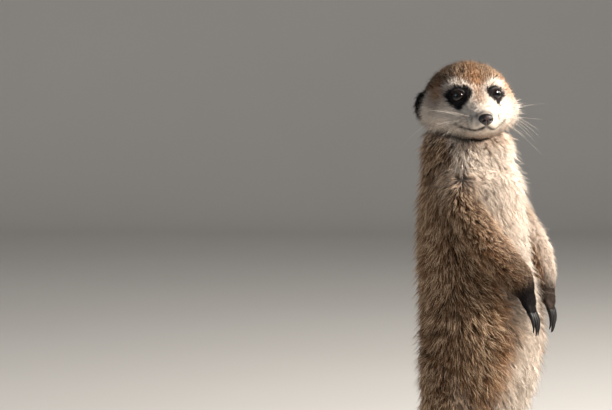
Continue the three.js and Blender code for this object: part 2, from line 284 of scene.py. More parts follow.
armRows = {
    "Right": np.array([
        [-18, -4, 243, 11, 12, 11, 3.4, 7.0], [-25, -11, 229, 11.6, 12, 11.6, 3.2, 6.4],
        [-27, -24, 213, 11.4, 12, 11.6, 2.8, 5.4], [-26.5, -33, 202.5, 11.6, 12, 12, 2.6, 5.0],
        [-22, -39, 194.5, 10.8, 11, 11, 2.2, 4.2], [-17, -43.8, 186.7, 9.2, 9.2, 9.2, 1.6, 3.2],
        [-14.6, -46.6, 180.5, 7.0, 6.2, 6.2, 1.0, 2.2]]),
    "Left": np.array([
        [18, -2, 243, 11, 12, 11, 3.4, 7.0], [24.5, -10, 228, 11.4, 12, 11.4, 3.2, 6.4],
        [27, -20, 213, 10.8, 11.2, 11, 2.8, 5.4], [26.5, -29, 202, 10.2, 10.4, 10.4, 2.6, 5.0],
        [23.5, -35, 192, 9, 9.2, 9.2, 2.2, 4.2], [20.5, -39, 183.5, 7.4, 7.4, 7.4, 1.6, 3.2],
        [18.6, -41.2, 178.5, 6.2, 5.8, 5.8, 1.0, 2.2]])}
handRows = {
    "Right": np.array([
        [-14.6, -46.8, 180, 6.2, 5.4, 5.4, 0.8, 1.8], [-13.6, -48.0, 175, 6.4, 4.4, 4.2, 0.7, 1.5],
        [-13.2, -48.5, 172, 6.2, 3.8, 3.6, 0.6, 1.3]]),
    "Left": np.array([
        [18.6, -41.4, 178.3, 5.8, 5.2, 5.2, 0.8, 1.8], [17.6, -43.2, 174, 6.2, 4.4, 4.2, 0.7, 1.5],
        [17.0, -44.2, 171.4, 6.0, 3.8, 3.6, 0.6, 1.3]])}
legRows = np.array([
    [15, 4, 137, 19, 20, 19, 4.2, 8.4], [20, 1, 117, 18, 19, 18.5, 4.0, 8.0],
    [23.3, -4, 98, 16, 17.5, 17.5, 3.6, 7.2], [25.5, -12, 80, 13.4, 14.5, 15.5, 3.0, 6.2],
    [26, -13, 66, 11.4, 12, 13.5, 2.6, 5.2], [25.6, -2, 46, 9.2, 9.8, 10, 2.2, 4.2],
    [25, 8.5, 29, 7.8, 8.2, 7.8, 1.5, 3.2], [25, 12, 17, 7.4, 8, 7.2, 1.1, 2.4]])
footRows = np.array([
    [25, 13.5, 8.6, 6.6, 6.4, 9.7, 0.9, 2.2], [25.4, 0, 9.0, 7.6, 6.6, 10.1, 0.8, 2.0],
    [26.2, -15, 7.8, 8.8, 5.6, 8.9, 0.8, 1.8], [27, -28, 6.0, 9.2, 4.8, 7.1, 0.7, 1.6]])
fans = {  # four digits and claws of each foot: knuckles, across, reach, spread, fanning, thickness, claw
    "handRight": {"knuckles": (-13.2, -48.5, 172), "across": (0.97, 0.22, 0), "reach": (0.2, -1.2, -3.8),
                  "spread": 3.3, "fanning": 0.3, "thick": 2.3, "claw": 12, "slope": 0.6},
    "handLeft": {"knuckles": (17.0, -44.2, 171.4), "across": (0.96, 0.28, 0), "reach": (-0.6, -1.4, -3.8),
                 "spread": 3.3, "fanning": 0.3, "thick": 2.3, "claw": 12, "slope": 0.42},
    "footRight": {"knuckles": (-27, -28, 3.8), "across": (-1, 0.12, 0), "reach": (-0.6, -11.5, -1.2),
                  "spread": 4.4, "fanning": 0.7, "thick": 3.3, "claw": 8, "slope": 0.97},
    "footLeft": {"knuckles": (27, -28, 3.8), "across": (1, 0.12, 0), "reach": (0.6, -11.5, -1.2),
                 "spread": 4.4, "fanning": 0.7, "thick": 3.3, "claw": 8, "slope": 0.97}}
headPose = {"centre": (-2, 0.5, 291), "turn": -46, "nod": 1, "tilt": -3}
eyeSetup = {"centre": (10.2, -19.4, 4.3), "radius": 5.0, "axis": (0.42, -0.88, 0.16),
            "openWide": 4.3, "openHigh": 3.75}


def headTurning(pose):
    # turn about Z after nod about X after tilt about Y
    z, x, y = (math.radians(pose[k]) for k in ("turn", "nod", "tilt"))
    turn = np.array([[math.cos(z), -math.sin(z), 0], [math.sin(z), math.cos(z), 0], [0, 0, 1]])
    nod = np.array([[1, 0, 0], [0, math.cos(x), -math.sin(x)], [0, math.sin(x), math.cos(x)]])
    tilt = np.array([[math.cos(y), 0, math.sin(y)], [0, 1, 0], [-math.sin(y), 0, math.cos(y)]])
    return turn @ nod @ tilt


headTurn = headTurning(headPose)
headCentre = np.array(headPose["centre"], float)


def fromHead(p):
    # head directions to body directions: turned, then moved to the head's centre
    return headCentre + p @ headTurn.T


def toHead(p):
    # the reverse of fromHead
    return (p - headCentre) @ headTurn


def mirrored(rows):
    # the other side's rows: the first column changes sign
    return rows * np.where(np.arange(rows.shape[1]) == 0, -1, 1)


digitSetup = {"innerLonger": 0.14, "arch": 0.6, "tipThin": 0.82, "coat": 0.55, "hair": 1.2}


def digitPaths(fanName):
    # middle line of each digit, its tip, and how much longer than the outer ones it is
    fan = fans[fanName]
    across = unit(np.array(fan["across"], float))
    reach, knuckles = np.array(fan["reach"], float), np.array(fan["knuckles"], float)
    slope = fan["slope"]
    drop = math.sqrt(1 - slope ** 2)
    onHand = fanName.startswith("hand")
    ahead = np.array([0, -slope, -drop]) if onHand else np.array([0, -0.97, -0.24])
    hook = np.array([0, drop, -slope]) if onHand else np.array([0, 0.24, -0.97])
    paths = []
    for i in range(4):
        place = i - 1.5
        longer = 1 + digitSetup["innerLonger"] * (1.5 - abs(place))
        root = knuckles + across * place * fan["spread"]
        tip = root + reach * longer + across * place * fan["fanning"]
        middle = (root + tip) / 2 - digitSetup["arch"] * hook
        paths.append({"root": root, "middle": middle, "tip": tip, "longer": longer,
                      "ahead": ahead, "hook": hook, "across": across})
    return paths


def bodyPart(rows, side=(1, 0, 0), facing=None, domes=(4, 4), inHead=False, region="trunk"):
    # stations, the width's direction, the sections' fixed facing, the end domes' heights and the region
    return {"rows": np.asarray(rows, float), "side": np.array(side, float), "facing": facing,
            "domes": domes, "inHead": inHead, "region": region}


bodyParts = {
    "trunk": bodyPart(trunkRows, domes=(3, 7)),
    "tail": bodyPart(tailRows, domes=(4, 5), region="tail"),
    "head": bodyPart(headRows, facing=(0, 1, 0), domes=(1.6, 5.5), inHead=True, region="head"),
    "earLeft": bodyPart(earRows, side=(0.93, 0.36, 0), domes=(1, 1), inHead=True, region="ear"),
    "earRight": bodyPart(mirrored(earRows), side=(-0.93, 0.36, 0), domes=(1, 1), inHead=True, region="ear"),
}
for sideName, sign in (("Left", 1), ("Right", -1)):
    bodyParts["arm" + sideName] = bodyPart(armRows[sideName], domes=(6, 2), region="arm")
    bodyParts["hand" + sideName] = bodyPart(handRows[sideName], domes=(1.5, 1), region="hand")
    ownLeg, ownFoot = (legRows, footRows) if sign > 0 else (mirrored(legRows), mirrored(footRows))
    bodyParts["leg" + sideName] = bodyPart(ownLeg, domes=(8, 5), region="leg")
    bodyParts["foot" + sideName] = bodyPart(ownFoot, domes=(4, 2), region="foot")
for fanName, fan in fans.items():
    for i, path in enumerate(digitPaths(fanName)):
        rows = [[*path[k], *[fan["thick"] * thin] * 3, digitSetup["coat"], digitSetup["hair"]]
                for k, thin in (("root", 1), ("middle", 1), ("tip", digitSetup["tipThin"]))]
        digit = bodyPart(rows, side=path["across"], domes=(1, 1.6), region=fanName[:4])
        bodyParts[f"{fanName}Digit{i}"] = digit


def trace(part, steps):
    # centre line of a part with the directions and reaches of its sections, in body millimetres
    points, slopes, number = spline(part["rows"], steps)
    along = unit(slopes[:, :3])
    if part["facing"] is not None:
        along = np.tile(np.array(part["facing"], float), (len(points), 1))
    across = unit(part["side"] - along * dot(along, part["side"]))
    belly = np.cross(along, across)
    centre = points[:, :3]
    if part["inHead"]:
        centre = fromHead(centre)
        along, across, belly = (way @ headTurn.T for way in (along, across, belly))
    return {"centre": centre, "along": along, "across": across, "belly": belly,
            "reach": points[:, 3:6], "depth": points[:, 6], "hair": points[:, 7], "number": number}


def sweep(part, sides, steps):
    # oval sections carried along the centre line, domed at both ends, less the coat's depth
    line = trace(part, steps)
    inset = line["depth"]
    angle = np.arange(sides) * 2 * np.pi / sides

    def section(i, scale, ahead):
        # oval at station i, scaled and moved ahead: wide by the cosine, deep by the sine
        reach = np.maximum(line["reach"][i] - inset[i], 0.5)
        deep = np.where(np.sin(angle) > 0, reach[1], reach[2])
        return (line["centre"][i] + line["along"][i] * ahead
                + scale * reach[0] * np.cos(angle)[:, None] * line["across"][i]
                + scale * (deep * np.sin(angle))[:, None] * line["belly"][i])

    shares = np.array([0.06, 0.2, 0.4, 0.62, 0.82]) * np.pi / 2
    domes = [max(d - inset[k] * 0.8, 0.4) for d, k in zip(part["domes"], (0, -1))]
    rings = [section(0, math.sin(a), -domes[0] * math.cos(a)) for a in shares]
    rings += [section(i, 1, 0) for i in range(len(line["number"]))]
    rings += [section(-1, math.sin(a), domes[1] * math.cos(a)) for a in shares[::-1]]
    return closedTube(np.array(rings))


def pressHead(q):
    # the head's soft swellings and hollows: each moves a point away from the head's middle line
    middle = np.stack([np.zeros(len(q)), q[:, 1], np.full(len(q), -5.0)], -1)
    lift = np.zeros(len(q))
    for at, reach, height in headForms:
        for side in (1, -1):
            away = np.linalg.norm(q - np.array(at) * (side, 1, 1), axis=1)
            lift += height * np.exp(-((away / reach) ** 2))
    return q + unit(q - middle) * lift[:, None]


# the skin
skinSetup = {"voxel": 1.06, "smoothing": 6, "smoothBy": 0.5, "floorClear": 0.35,
             "sides": 56, "smallSides": 24}


def buildSkin(setup):
    # all the parts swept, joined, remeshed into one closed surface and smoothed where they meet
    grids = []
    for name, part in bodyParts.items():
        big = part["region"] in ("trunk", "head", "leg", "tail")
        p, q, t = sweep(part, setup["sides" if big else "smallSides"], 8)
        if name == "head":
            p = fromHead(pressHead(toHead(p)))
        grids.append((p, q, t))
    skin = meshFrom("skin", *joinGrids(grids))
    remesh = skin.modifiers.new("remesh", "REMESH")
    remesh.mode, remesh.voxel_size, remesh.use_smooth_shade = "VOXEL", setup["voxel"] * mm, True
    soften = skin.modifiers.new("soften", "SMOOTH")
    soften.factor, soften.iterations = setup["smoothBy"], setup["smoothing"]
    graph = bpy.context.evaluated_depsgraph_get()
    made = bpy.data.meshes.new_from_object(skin.evaluated_get(graph))
    made.name = "skin"
    skin.modifiers.clear()
    skin.data = made
    return skin


def pointsOf(piece):
    # a piece's vertices in body millimetres
    co = np.empty(len(piece.data.vertices) * 3, np.float32)
    piece.data.vertices.foreach_get("co", co)
    return co.reshape(-1, 3).astype(float) / mm + bodyShift


def putPoints(piece, p):
    # the reverse of pointsOf
    piece.data.vertices.foreach_set("co", ((p - bodyShift) * mm).astype(np.float32).ravel())
    piece.data.update()


def eyeFrame(side):
    # centre of one eye with its outward, sideways and upward directions, before the head is turned
    centre = np.array(eyeSetup["centre"]) * (side, 1, 1)
    axis = unit(np.array(eyeSetup["axis"]) * (side, 1, 1))
    sideways = unit(np.cross(np.array([0, 0, 1.0]), axis)) * -side
    sideways = sideways * np.sign(sideways[0] * side)
    up = unit(np.cross(axis, sideways))
    return centre, axis, sideways, up * np.sign(up[2])


# the lips' line on one side: how far back, and how many degrees it lies under the head's widest line
mouthLine = {"back": [-44.6, -42.5, -39, -36, -32, -28, -25.5], "under": [88, 66, 52, 43, 32, 20, 9]}


def lipPath(line):
    # the line's places on the head's own sections, less the coat's depth
    rows = spline(headRows, 10)[0]
    back = np.linspace(line["back"][0], line["back"][-1], 40)
    wide, under, mid = (np.interp(back, rows[:, 1], column) for column in (
        rows[:, 3] - rows[:, 6], rows[:, 4] - rows[:, 6], rows[:, 2]))
    lean = np.radians(np.interp(back, line["back"], line["under"]))
    return np.stack([wide * np.cos(lean), back, mid - under * np.sin(lean)], -1)


def awayFromLine(q, line):
    # distance from each point to a broken line, and how far along the line the nearest point is
    best, share = np.full(len(q), 1e9), np.zeros(len(q))
    for i in range(len(line) - 1):
        a, b = line[i], line[i + 1]
        t = np.clip(((q - a) @ (b - a)) / np.dot(b - a, b - a), 0, 1)
        d = np.linalg.norm(q - (a + t[:, None] * (b - a)), axis=1)
        nearer = d < best
        best = np.where(nearer, d, best)
        share = np.where(nearer, (i + t) / (len(line) - 1), share)
    return best, share


mouthPath = lipPath(mouthLine)


def folded(q):
    # the right side's points laid over the left side's
    return q * np.where(q[:, :1] < 0, (-1, 1, 1), (1, 1, 1))


faceSetup = {
    "socketGap": 0.35, "eyeReach": 9, "sink": 1.2, "openFrom": 0.80, "openTo": 0.90,
    "lipDepth": 0.7, "lipWide": 0.9, "lipFade": 0.6,
    "dish": (29.5, 9.0, -1.0), "dishReach": (3.0, 3.4, 4.6), "dishDepth": 1.5,
}


def shapeFace(p, setup):
    # sockets hug the eyeballs, the lips part in a groove, and the ears are hollowed
    q = toHead(p)
    for side in (1, -1):
        centre, axis, _, _ = eyeFrame(side)
        away = q - centre
        far = np.linalg.norm(away, axis=1)
        leaning = (away @ axis) / np.maximum(far, 1e-6)
        wanted = eyeSetup["radius"] + setup["socketGap"]
        push = np.clip(wanted - far, 0, None) * smooth(-0.1, 0.25, leaning) * (far < setup["eyeReach"])
        opening = smooth(setup["openFrom"], setup["openTo"], leaning)
        q = q + away / np.maximum(far, 1e-6)[:, None] * (push * (1 - opening))[:, None]
        sunk = opening * (far < setup["eyeReach"])
        q = np.where(sunk[:, None] > 0, q - axis * (setup["sink"] * sunk)[:, None], q)
    near, share = awayFromLine(folded(q), mouthPath)
    inward = unit(np.stack([-q[:, 0], np.full(len(q), 6.0), -9.0 - q[:, 2]], -1))
    groove = setup["lipDepth"] * hump(near, 0, setup["lipWide"]) * (1 - setup["lipFade"] * share)
    q = q + inward * groove[:, None]
    for side in (1, -1):
        dish = np.linalg.norm((q - np.array(setup["dish"]) * (side, 1, 1)) / setup["dishReach"], axis=1)
        q = q + np.array([-side * 0.8, 0.35, 0]) * (setup["dishDepth"] * np.exp(-(dish ** 2)))[:, None]
    return fromHead(q)


skin = buildSkin(skinSetup)
skinPoints = shapeFace(pointsOf(skin), faceSetup)
low = skinPoints[:, 2] < skinSetup["floorClear"] + 2.0
skinPoints[:, 2] = np.where(low, np.maximum(skinPoints[:, 2], skinSetup["floorClear"]), skinPoints[:, 2])
putPoints(skin, skinPoints)
report(f"skin with {len(skin.data.polygons)} faces")

# where a point lies on the body
partNames = list(bodyParts)
partLines = [trace(bodyParts[name], 10) for name in partNames]
regionNames = ["trunk", "tail", "head", "ear", "arm", "hand", "leg", "foot"]
partRegion = np.array([regionNames.index(bodyParts[name]["region"]) for name in partNames])


def placeOnBody(p, blend=2.6):
    # for each point: nearest part, station number, angle round it, blended lie and hair length
    count = len(p)
    gaps = np.empty((len(partLines), count))
    found = []
    for k, line in enumerate(partLines):
        nearest = np.empty(count, int)
        for start in range(0, count, 40000):
            block = p[start:start + 40000]
            square = (block ** 2).sum(1)[:, None] - 2 * block @ line["centre"].T
            nearest[start:start + 40000] = (square + (line["centre"] ** 2).sum(1)[None]).argmin(1)
        away = p - line["centre"][nearest]
        reach = line["reach"][nearest] - line["depth"][nearest][:, None]
        x, z = (away * line["across"][nearest]).sum(1), (away * line["belly"][nearest]).sum(1)
        beyond = (away * line["along"][nearest]).sum(1)
        deep = np.where(z > 0, reach[:, 1], reach[:, 2])
        ratio = np.sqrt((x / reach[:, 0]) ** 2 + (z / deep) ** 2 + (beyond / np.minimum(reach[:, 0], 6)) ** 2)
        gaps[k] = np.abs(ratio - 1) * reach.mean(1)
        found.append((nearest, np.arctan2(z / deep, x / reach[:, 0])))
    weight = np.exp(-(gaps - gaps.min(0)) / blend)
    weight /= weight.sum(0)
    main = gaps.argmin(0)
    lie = np.zeros((count, 3))
    hair, number, angle = np.zeros(count), np.zeros(count), np.zeros(count)
    for k, line in enumerate(partLines):
        nearest, around = found[k]
        lie += weight[k][:, None] * line["along"][nearest]
        hair += weight[k] * line["hair"][nearest]
        mine = main == k
        number[mine] = line["number"][nearest[mine]]
        angle[mine] = around[mine]
    regionShare = np.zeros((len(regionNames), count))
    np.add.at(regionShare, partRegion, weight)
    return {"part": main, "region": partRegion[main], "number": number, "angle": angle,
            "lie": lie, "hair": hair, "share": regionShare}


def shareOf(place, region):
    # how much of each point belongs to a region, 0 to 1
    return place["share"][regionNames.index(region)]


trunkLine = partLines[0]


def trunkLevel(p):
    # number of the trunk's station at each point's height
    return np.clip(np.searchsorted(-trunkLine["centre"][:, 2], -p[:, 2]), 0, len(trunkLine["number"]) - 1)


# markings
paleEdge = {"height": [96, 120, 160, 190, 215, 238, 252, 270, 284],
            "front": [0.70, 0.86, 0.88, 0.80, 0.56, 0.40, 0.26, 0.10, 0.05]}
eyePatchSetup = {
    "wide": 8.4, "high": 6.2, "hang": 9.5, "taper": 1.4, "inward": 0.4, "lean": 2.4,
    "leftSmaller": 1.22, "soft": 0.9, "ragged": 0.35, "back": -8,
}


def eyePatch(q, setup):
    # rounded triangle about each eye, its tip hanging towards the muzzle: 1 inside, 0 outside
    # the left eye's patch is drawn smaller, on the side the key light falls on: painted light, as lit fur
    # pales the patch's edge
    scale = np.where(q[:, 0] > 0, setup["leftSmaller"], 1.0)
    q = folded(q)
    centre, axis, sideways, up = eyeFrame(1)
    h, k, d = (q - centre) @ sideways * scale, (q - centre) @ up * scale, (q - centre) @ axis
    down = np.clip(-k / setup["hang"], 0, 1)
    dome = np.sqrt(np.clip(1 - (k / setup["high"]) ** 2, 0, 1))
    wide = setup["wide"] * np.where(k > 0, dome, 1 - down ** setup["taper"])
    off = np.abs(h + setup["inward"] + setup["lean"] * down) - wide
    off = np.maximum(off, np.maximum(k - setup["high"], -setup["hang"] - k))
    off = off + setup["ragged"] * softNoise(q, 0.5, 5)
    return (1 - smooth(-setup["soft"], setup["soft"], off)) * (d > setup["back"])


# spots on the head in its own directions: x, y and z are the centre and width of a bell, a step is where a
# mask starts and where it is full, and pale and warm are what the spot adds to or takes from those masks
headSpots = {
    "brow": {"x": (12.5, 5.0), "z": (11.4, 2.2), "yStep": (-8, -14), "pale": 0.40},
    "bridge": {"x": (0, 4.2), "yStep": (-38, -30), "zStep": (-4, 2), "pale": -0.60, "warm": 0.35},
    "temple": {"x": (21.5, 5.0), "y": (-10, 9), "z": (7, 8), "pale": -0.75, "warm": 0.95},
    "besideEye": {"x": (17, 3.4), "y": (-14, 7), "z": (3, 5.5), "warm": 0.45},
    "chin": {"x": (0, 13), "y": (-22, 12), "zStep": (-14.5, -18.5), "warm": 0.65},
    "forehead": {"x": (0, 9), "z": (11, 6), "yStep": (-8, -14), "warm": 0.22},
    "crownPeak": {"x": (0, 8)},
    "crownDip": {"x": (14, 6), "y": (-18, 5)},
    "noseTop": {"x": (0, 4.4), "y": (-41.5, 3.2), "z": (-5.2, 2.6)},
    "muzzleSide": {"x": (7.5, 4.5), "z": (-8, 4.5), "yStep": (-25, -33)},
    "behindEar": {"x": (25, 4), "y": (16, 4), "z": (-3, 9)},
    "earFoot": {"x": (28, 5), "y": (7.5, 3.5), "z": (-3, 9)},
    "ruff": {"x": (26, 10), "y": (-6, 13), "z": (-11, 9)},  # cheeks and the corner of the jaw
    "throat": {"x": (0, 16), "y": (-12, 14), "zStep": (-13, -18)},
}
crownEdge = {"height": 8.6, "peak": 3.0, "slope": 0.30, "from": -8, "ragged": 0.9, "dip": 2.2,
             "soft": (-1.5, 2.5)}
lipSetup = {"black": 1.1, "wide": 1.05, "fade": 0.35}


def headSpot(q, name):
    # product of the spot's bells and steps
    share = np.ones(len(q))
    for axis, column in (("x", np.abs(q[:, 0])), ("y", q[:, 1]), ("z", q[:, 2])):
        if axis in headSpots[name]:
            share = share * hump(column, *headSpots[name][axis])
        if axis + "Step" in headSpots[name]:
            share = share * smooth(*headSpots[name][axis + "Step"], column)
    return share


def headMarks(q, wiggle, fine):
    # pale, black and warm masks of the head, and its brown crown and nape
    y, z = q[:, 1], q[:, 2]
    spot = {name: headSpot(q, name) for name in headSpots}
    edge = (z - crownEdge["height"] + crownEdge["peak"] * spot["crownPeak"]
            + crownEdge["slope"] * (y - crownEdge["from"]) + crownEdge["ragged"] * wiggle
            - crownEdge["dip"] * spot["crownDip"])
    crown = smooth(*crownEdge["soft"], edge)
    nape = smooth(10, 19, y + 0.9 * fine) * smooth(-17, -6, z)
    pale = (1 - crown) * (1 - nape)
    for name, one in headSpots.items():  # a plus is added, a minus takes that share away
        amount = one.get("pale", 0)
        pale = np.clip(pale + amount * spot[name], 0, 1) if amount > 0 else pale * (1 + amount * spot[name])
    warm = sum(one["warm"] * spot[name] for name, one in headSpots.items() if "warm" in one)
    near, share = awayFromLine(folded(q), mouthPath)
    lips = lipSetup["black"] * hump(near, 0, lipSetup["wide"]) * (1 - lipSetup["fade"] * share)
    black = np.clip(eyePatch(q, eyePatchSetup) + lips + 0.8 * spot["noseTop"], 0, 1)
    # the muzzle's sides are darkened grey: partly the fine dark hairs there, partly painted shade
    shaded = (0.22 + 0.3 * np.clip(fine, -0.5, 1)) * spot["muzzleSide"]
    speckled = 0.30 * np.clip(fine, 0, 1) * pale
    ears = 0.5 * np.maximum(spot["behindEar"], 2 * spot["earFoot"])
    return pale, np.clip(black + ears + shaded + speckled, 0, 1), warm, crown + nape


whorl = {"at": np.array([27.0, -9.5, 246.0]), "wide": 12, "pale": 0.75}  # on the left; mirrored to the right
bandSetup = {"step": 10.5, "waver": 1.1, "bend": 2.4, "height": (196, 160), "front": (0.30, -0.25)}


def trunkMarks(p, wiggle):
    # pale where a point faces further to the front than the edge at its height, warm along that edge,
    # banded across the lower back
    z = p[:, 2]
    out = p[:, :2] - trunkLine["centre"][trunkLevel(p)][:, :2]
    front = -out[:, 1] / np.maximum(np.linalg.norm(out, axis=1), 1e-6)
    edge = np.interp(z, paleEdge["height"], paleEdge["front"])
    pale = smooth(-0.16, 0.16, front - edge + 0.05 * wiggle)
    fromWhorl = np.linalg.norm(folded(p) - whorl["at"], axis=1)
    pale = np.maximum(pale, whorl["pale"] * hump(fromWhorl, 0, whorl["wide"]))
    warm = 0.42 * hump(front, edge - 0.08, 0.10) * smooth(95, 130, z) * (1 - 0.6 * smooth(225, 250, z))
    throat = smooth(261, 271, z) * smooth(0.1, 0.5, front)
    pale, warm = pale * (1 - 0.40 * throat), np.maximum(warm, 0.40 * throat)
    wave = z * 2 * np.pi / bandSetup["step"] + bandSetup["waver"] * softNoise(p, 9.0, 21)
    band = smooth(0.45, 0.85, 0.5 + 0.5 * np.sin(wave + bandSetup["bend"] * np.abs(front)))
    return pale, warm, band * smooth(*bandSetup["height"], z) * smooth(*bandSetup["front"], front)


def markings(p, place):
    # pale, black, warm and band masks at each point, then the crown; the skin and the coat both use them
    wiggle, fine = softNoise(p, 3.2, 11), softNoise(p, 1.1, 12)
    headPale, headBlack, headWarm, crown = headMarks(toHead(p), wiggle, fine)
    trunkPale, trunkWarm, band = trunkMarks(p, wiggle)
    head, arm, hand, leg, foot, tail, ear = (
        shareOf(place, name) for name in ("head", "arm", "hand", "leg", "foot", "tail", "ear"))
    onPaw = np.isin(place["region"], [regionNames.index("hand"), regionNames.index("foot")])
    arm, hand = np.where(onPaw, 0, arm), np.where(onPaw, arm + hand, hand)
    leg, foot = np.where(onPaw, 0, leg), np.where(onPaw, leg + foot, foot)
    body = 1 - np.clip(head + arm + hand + leg + foot + tail + ear, 0, 1)
    number, facing = place["number"], np.sin(place["angle"])
    sideways = np.cos(place["angle"]) * np.sign(p[:, 0])  # 1 on a limb's outer side, -1 on its inner side
    # painted light and shade on the arms: the left arm, on the side the key light falls on, gets a pale outer
    # side and a little more warmth as painted light, and the right arm keeps little pale as painted shade;
    # the pale front of the arms is the coat's own
    leftArm = p[:, 0] > 0
    litOuterAndFrontPale = np.maximum(smooth(0.35, 0.95, facing), smooth(0.0, 0.8, sideways))
    armPale = smooth(0.8, 2.6, number) * np.where(leftArm, litOuterAndFrontPale, 0.15 * smooth(0.5, 1.0, facing))
    legPale = 0.8 * smooth(0.1, 0.8, -sideways) + 0.25 * smooth(0.3, 0.9, facing)
    tailPale = 0.35 * smooth(0.0, 0.8, facing)
    tailBlack = smooth(6.2, 6.9, number + 0.12 * wiggle)
    pale = (head * headPale + body * trunkPale + arm * armPale + 0.12 * hand
            + leg * 0.8 * legPale + foot * 0.45 + tail * tailPale)
    warm = (head * headWarm + body * trunkWarm
            + arm * np.where(leftArm, 0.28, 0.22) * smooth(1.0, 3.0, number)
            + 0.20 * hand + 0.40 * leg * smooth(2, 5, number) + 0.35 * foot + 0.40 * tail)
    # the right hand and forearm get more black than the left: painted shade on the side away from the key
    # light
    black = (head * headBlack + np.clip(ear * 1.8, 0, 1) + tail * tailBlack
             + np.where(leftArm, 0.88, 1.1) * hand
             + np.where(leftArm, 0.6, 0.35) * arm * smooth(4.2, 6.0, number)
             + 0.55 * arm * ~leftArm * smooth(2.0, 4.2, number))
    band = band * body + 0.35 * tail * band
    return np.clip(np.stack([pale, black, warm, band], -1), 0, 1), np.clip(head * crown, 0, 1)


skinPlace = placeOnBody(skinPoints)
skinMarks, skinCrown = markings(skinPoints, skinPlace)
setColours(skin, "marks", skinMarks)
lowOnHair = np.tile([0.22, 0.5, 0.5], (len(skinPoints), 1))  # along a hair, its chance, its lock's chance
setColours(skin, "strand", np.column_stack([lowOnHair, skinCrown]))
report("places and markings on the skin")


# materials
def newMaterial(name, roughness, specular=0.5):
    # a Principled material with its roughness and the strength of its reflection
    material = bpy.data.materials.new(name)
    material.use_nodes = True
    shader = material.node_tree.nodes["Principled BSDF"]
    shader.inputs["Roughness"].default_value = roughness
    shader.inputs["Specular IOR Level"].default_value = specular
    return material, material.node_tree, shader


def addNode(tree, kind, settings=None, values=None):
    # a node with its settings and the values of its inputs
    node = tree.nodes.new(kind)
    for key, value in (settings or {}).items():
        setattr(node, key, value)
    for key, value in (values or {}).items():
        node.inputs[key].default_value = value
    return node


def wire(tree, source, sink):
    # joins an output to an input, or sets the input where the source is a number or a colour
    if isinstance(source, (int, float, tuple)):
        sink.default_value = source
    else:
        tree.links.new(source, sink)


def maths(tree, operation, a, b):
    # one sum, difference or product of two values
    node = addNode(tree, "ShaderNodeMath", {"operation": operation})
    wire(tree, a, node.inputs[0])
    wire(tree, b, node.inputs[1])
    return node.outputs[0]


def times(tree, a, b):
    # a x b
    return maths(tree, "MULTIPLY", a, b)


def plus(tree, a, b):
    # a + b
    return maths(tree, "ADD", a, b)


def mixed(tree, share, a, b, blend="MIX"):
    # share of colour b laid over colour a
    node = addNode(tree, "ShaderNodeMix", {"data_type": "RGBA", "blend_type": blend})
    for source, socket in ((share, 0), (a, 6), (b, 7)):
        wire(tree, source, node.inputs[socket])
    return node.outputs[2]


def ramp(tree, value, low, high):
    # smooth step of a value between two limits
    node = addNode(tree, "ShaderNodeMapRange", {"interpolation_type": "SMOOTHSTEP"},
                   {"From Min": low, "From Max": high})
    wire(tree, value, node.inputs["Value"])
    return node.outputs["Result"]


def channels(tree, colour):
    # the three channels of a colour
    node = addNode(tree, "ShaderNodeSeparateColor")
    wire(tree, colour, node.inputs[0])
    return node.outputs


def grey(tree, value):
    # a colour with the value in all three channels
    node = addNode(tree, "ShaderNodeCombineColor")
    for socket in node.inputs[:3]:
        wire(tree, value, socket)
    return node.outputs[0]


def ownPlace(tree):
    # the piece's own coordinates
    return addNode(tree, "ShaderNodeTexCoord").outputs["Object"]


def noise(tree, place, scale, detail, settings=None):
    # noise from 0 to 1 over a place
    node = addNode(tree, "ShaderNodeTexNoise", settings, {"Scale": scale, "Detail": detail})
    wire(tree, place, node.inputs["Vector"])
    return node.outputs["Fac"]


def paint(tree, shader, colour, roughness=None):
    # base colour, and roughness where it varies
    wire(tree, colour, shader.inputs["Base Color"])
    if roughness is not None:
        wire(tree, roughness, shader.inputs["Roughness"])


def emboss(tree, shader, height, strength, distance, invert=False):
    # bump from a height, its distance in metres
    node = addNode(tree, "ShaderNodeBump", {"invert": invert}, {"Strength": strength, "Distance": distance})
    wire(tree, height, node.inputs["Height"])
    wire(tree, node.outputs["Normal"], shader.inputs["Normal"])


coatColours = {
    "Cream": (0.86, 0.755, 0.655, 1), "Brown": (0.185, 0.099, 0.052, 1), "Root": (0.022, 0.013, 0.009, 1),
    "Tip": (0.76, 0.57, 0.39, 1), "Warm": (0.44, 0.185, 0.062, 1), "Black": (0.010, 0.008, 0.008, 1),
    "Ticked": (0.37, 0.235, 0.150, 1), "Skin": (0.50, 0.38, 0.30, 1),
}


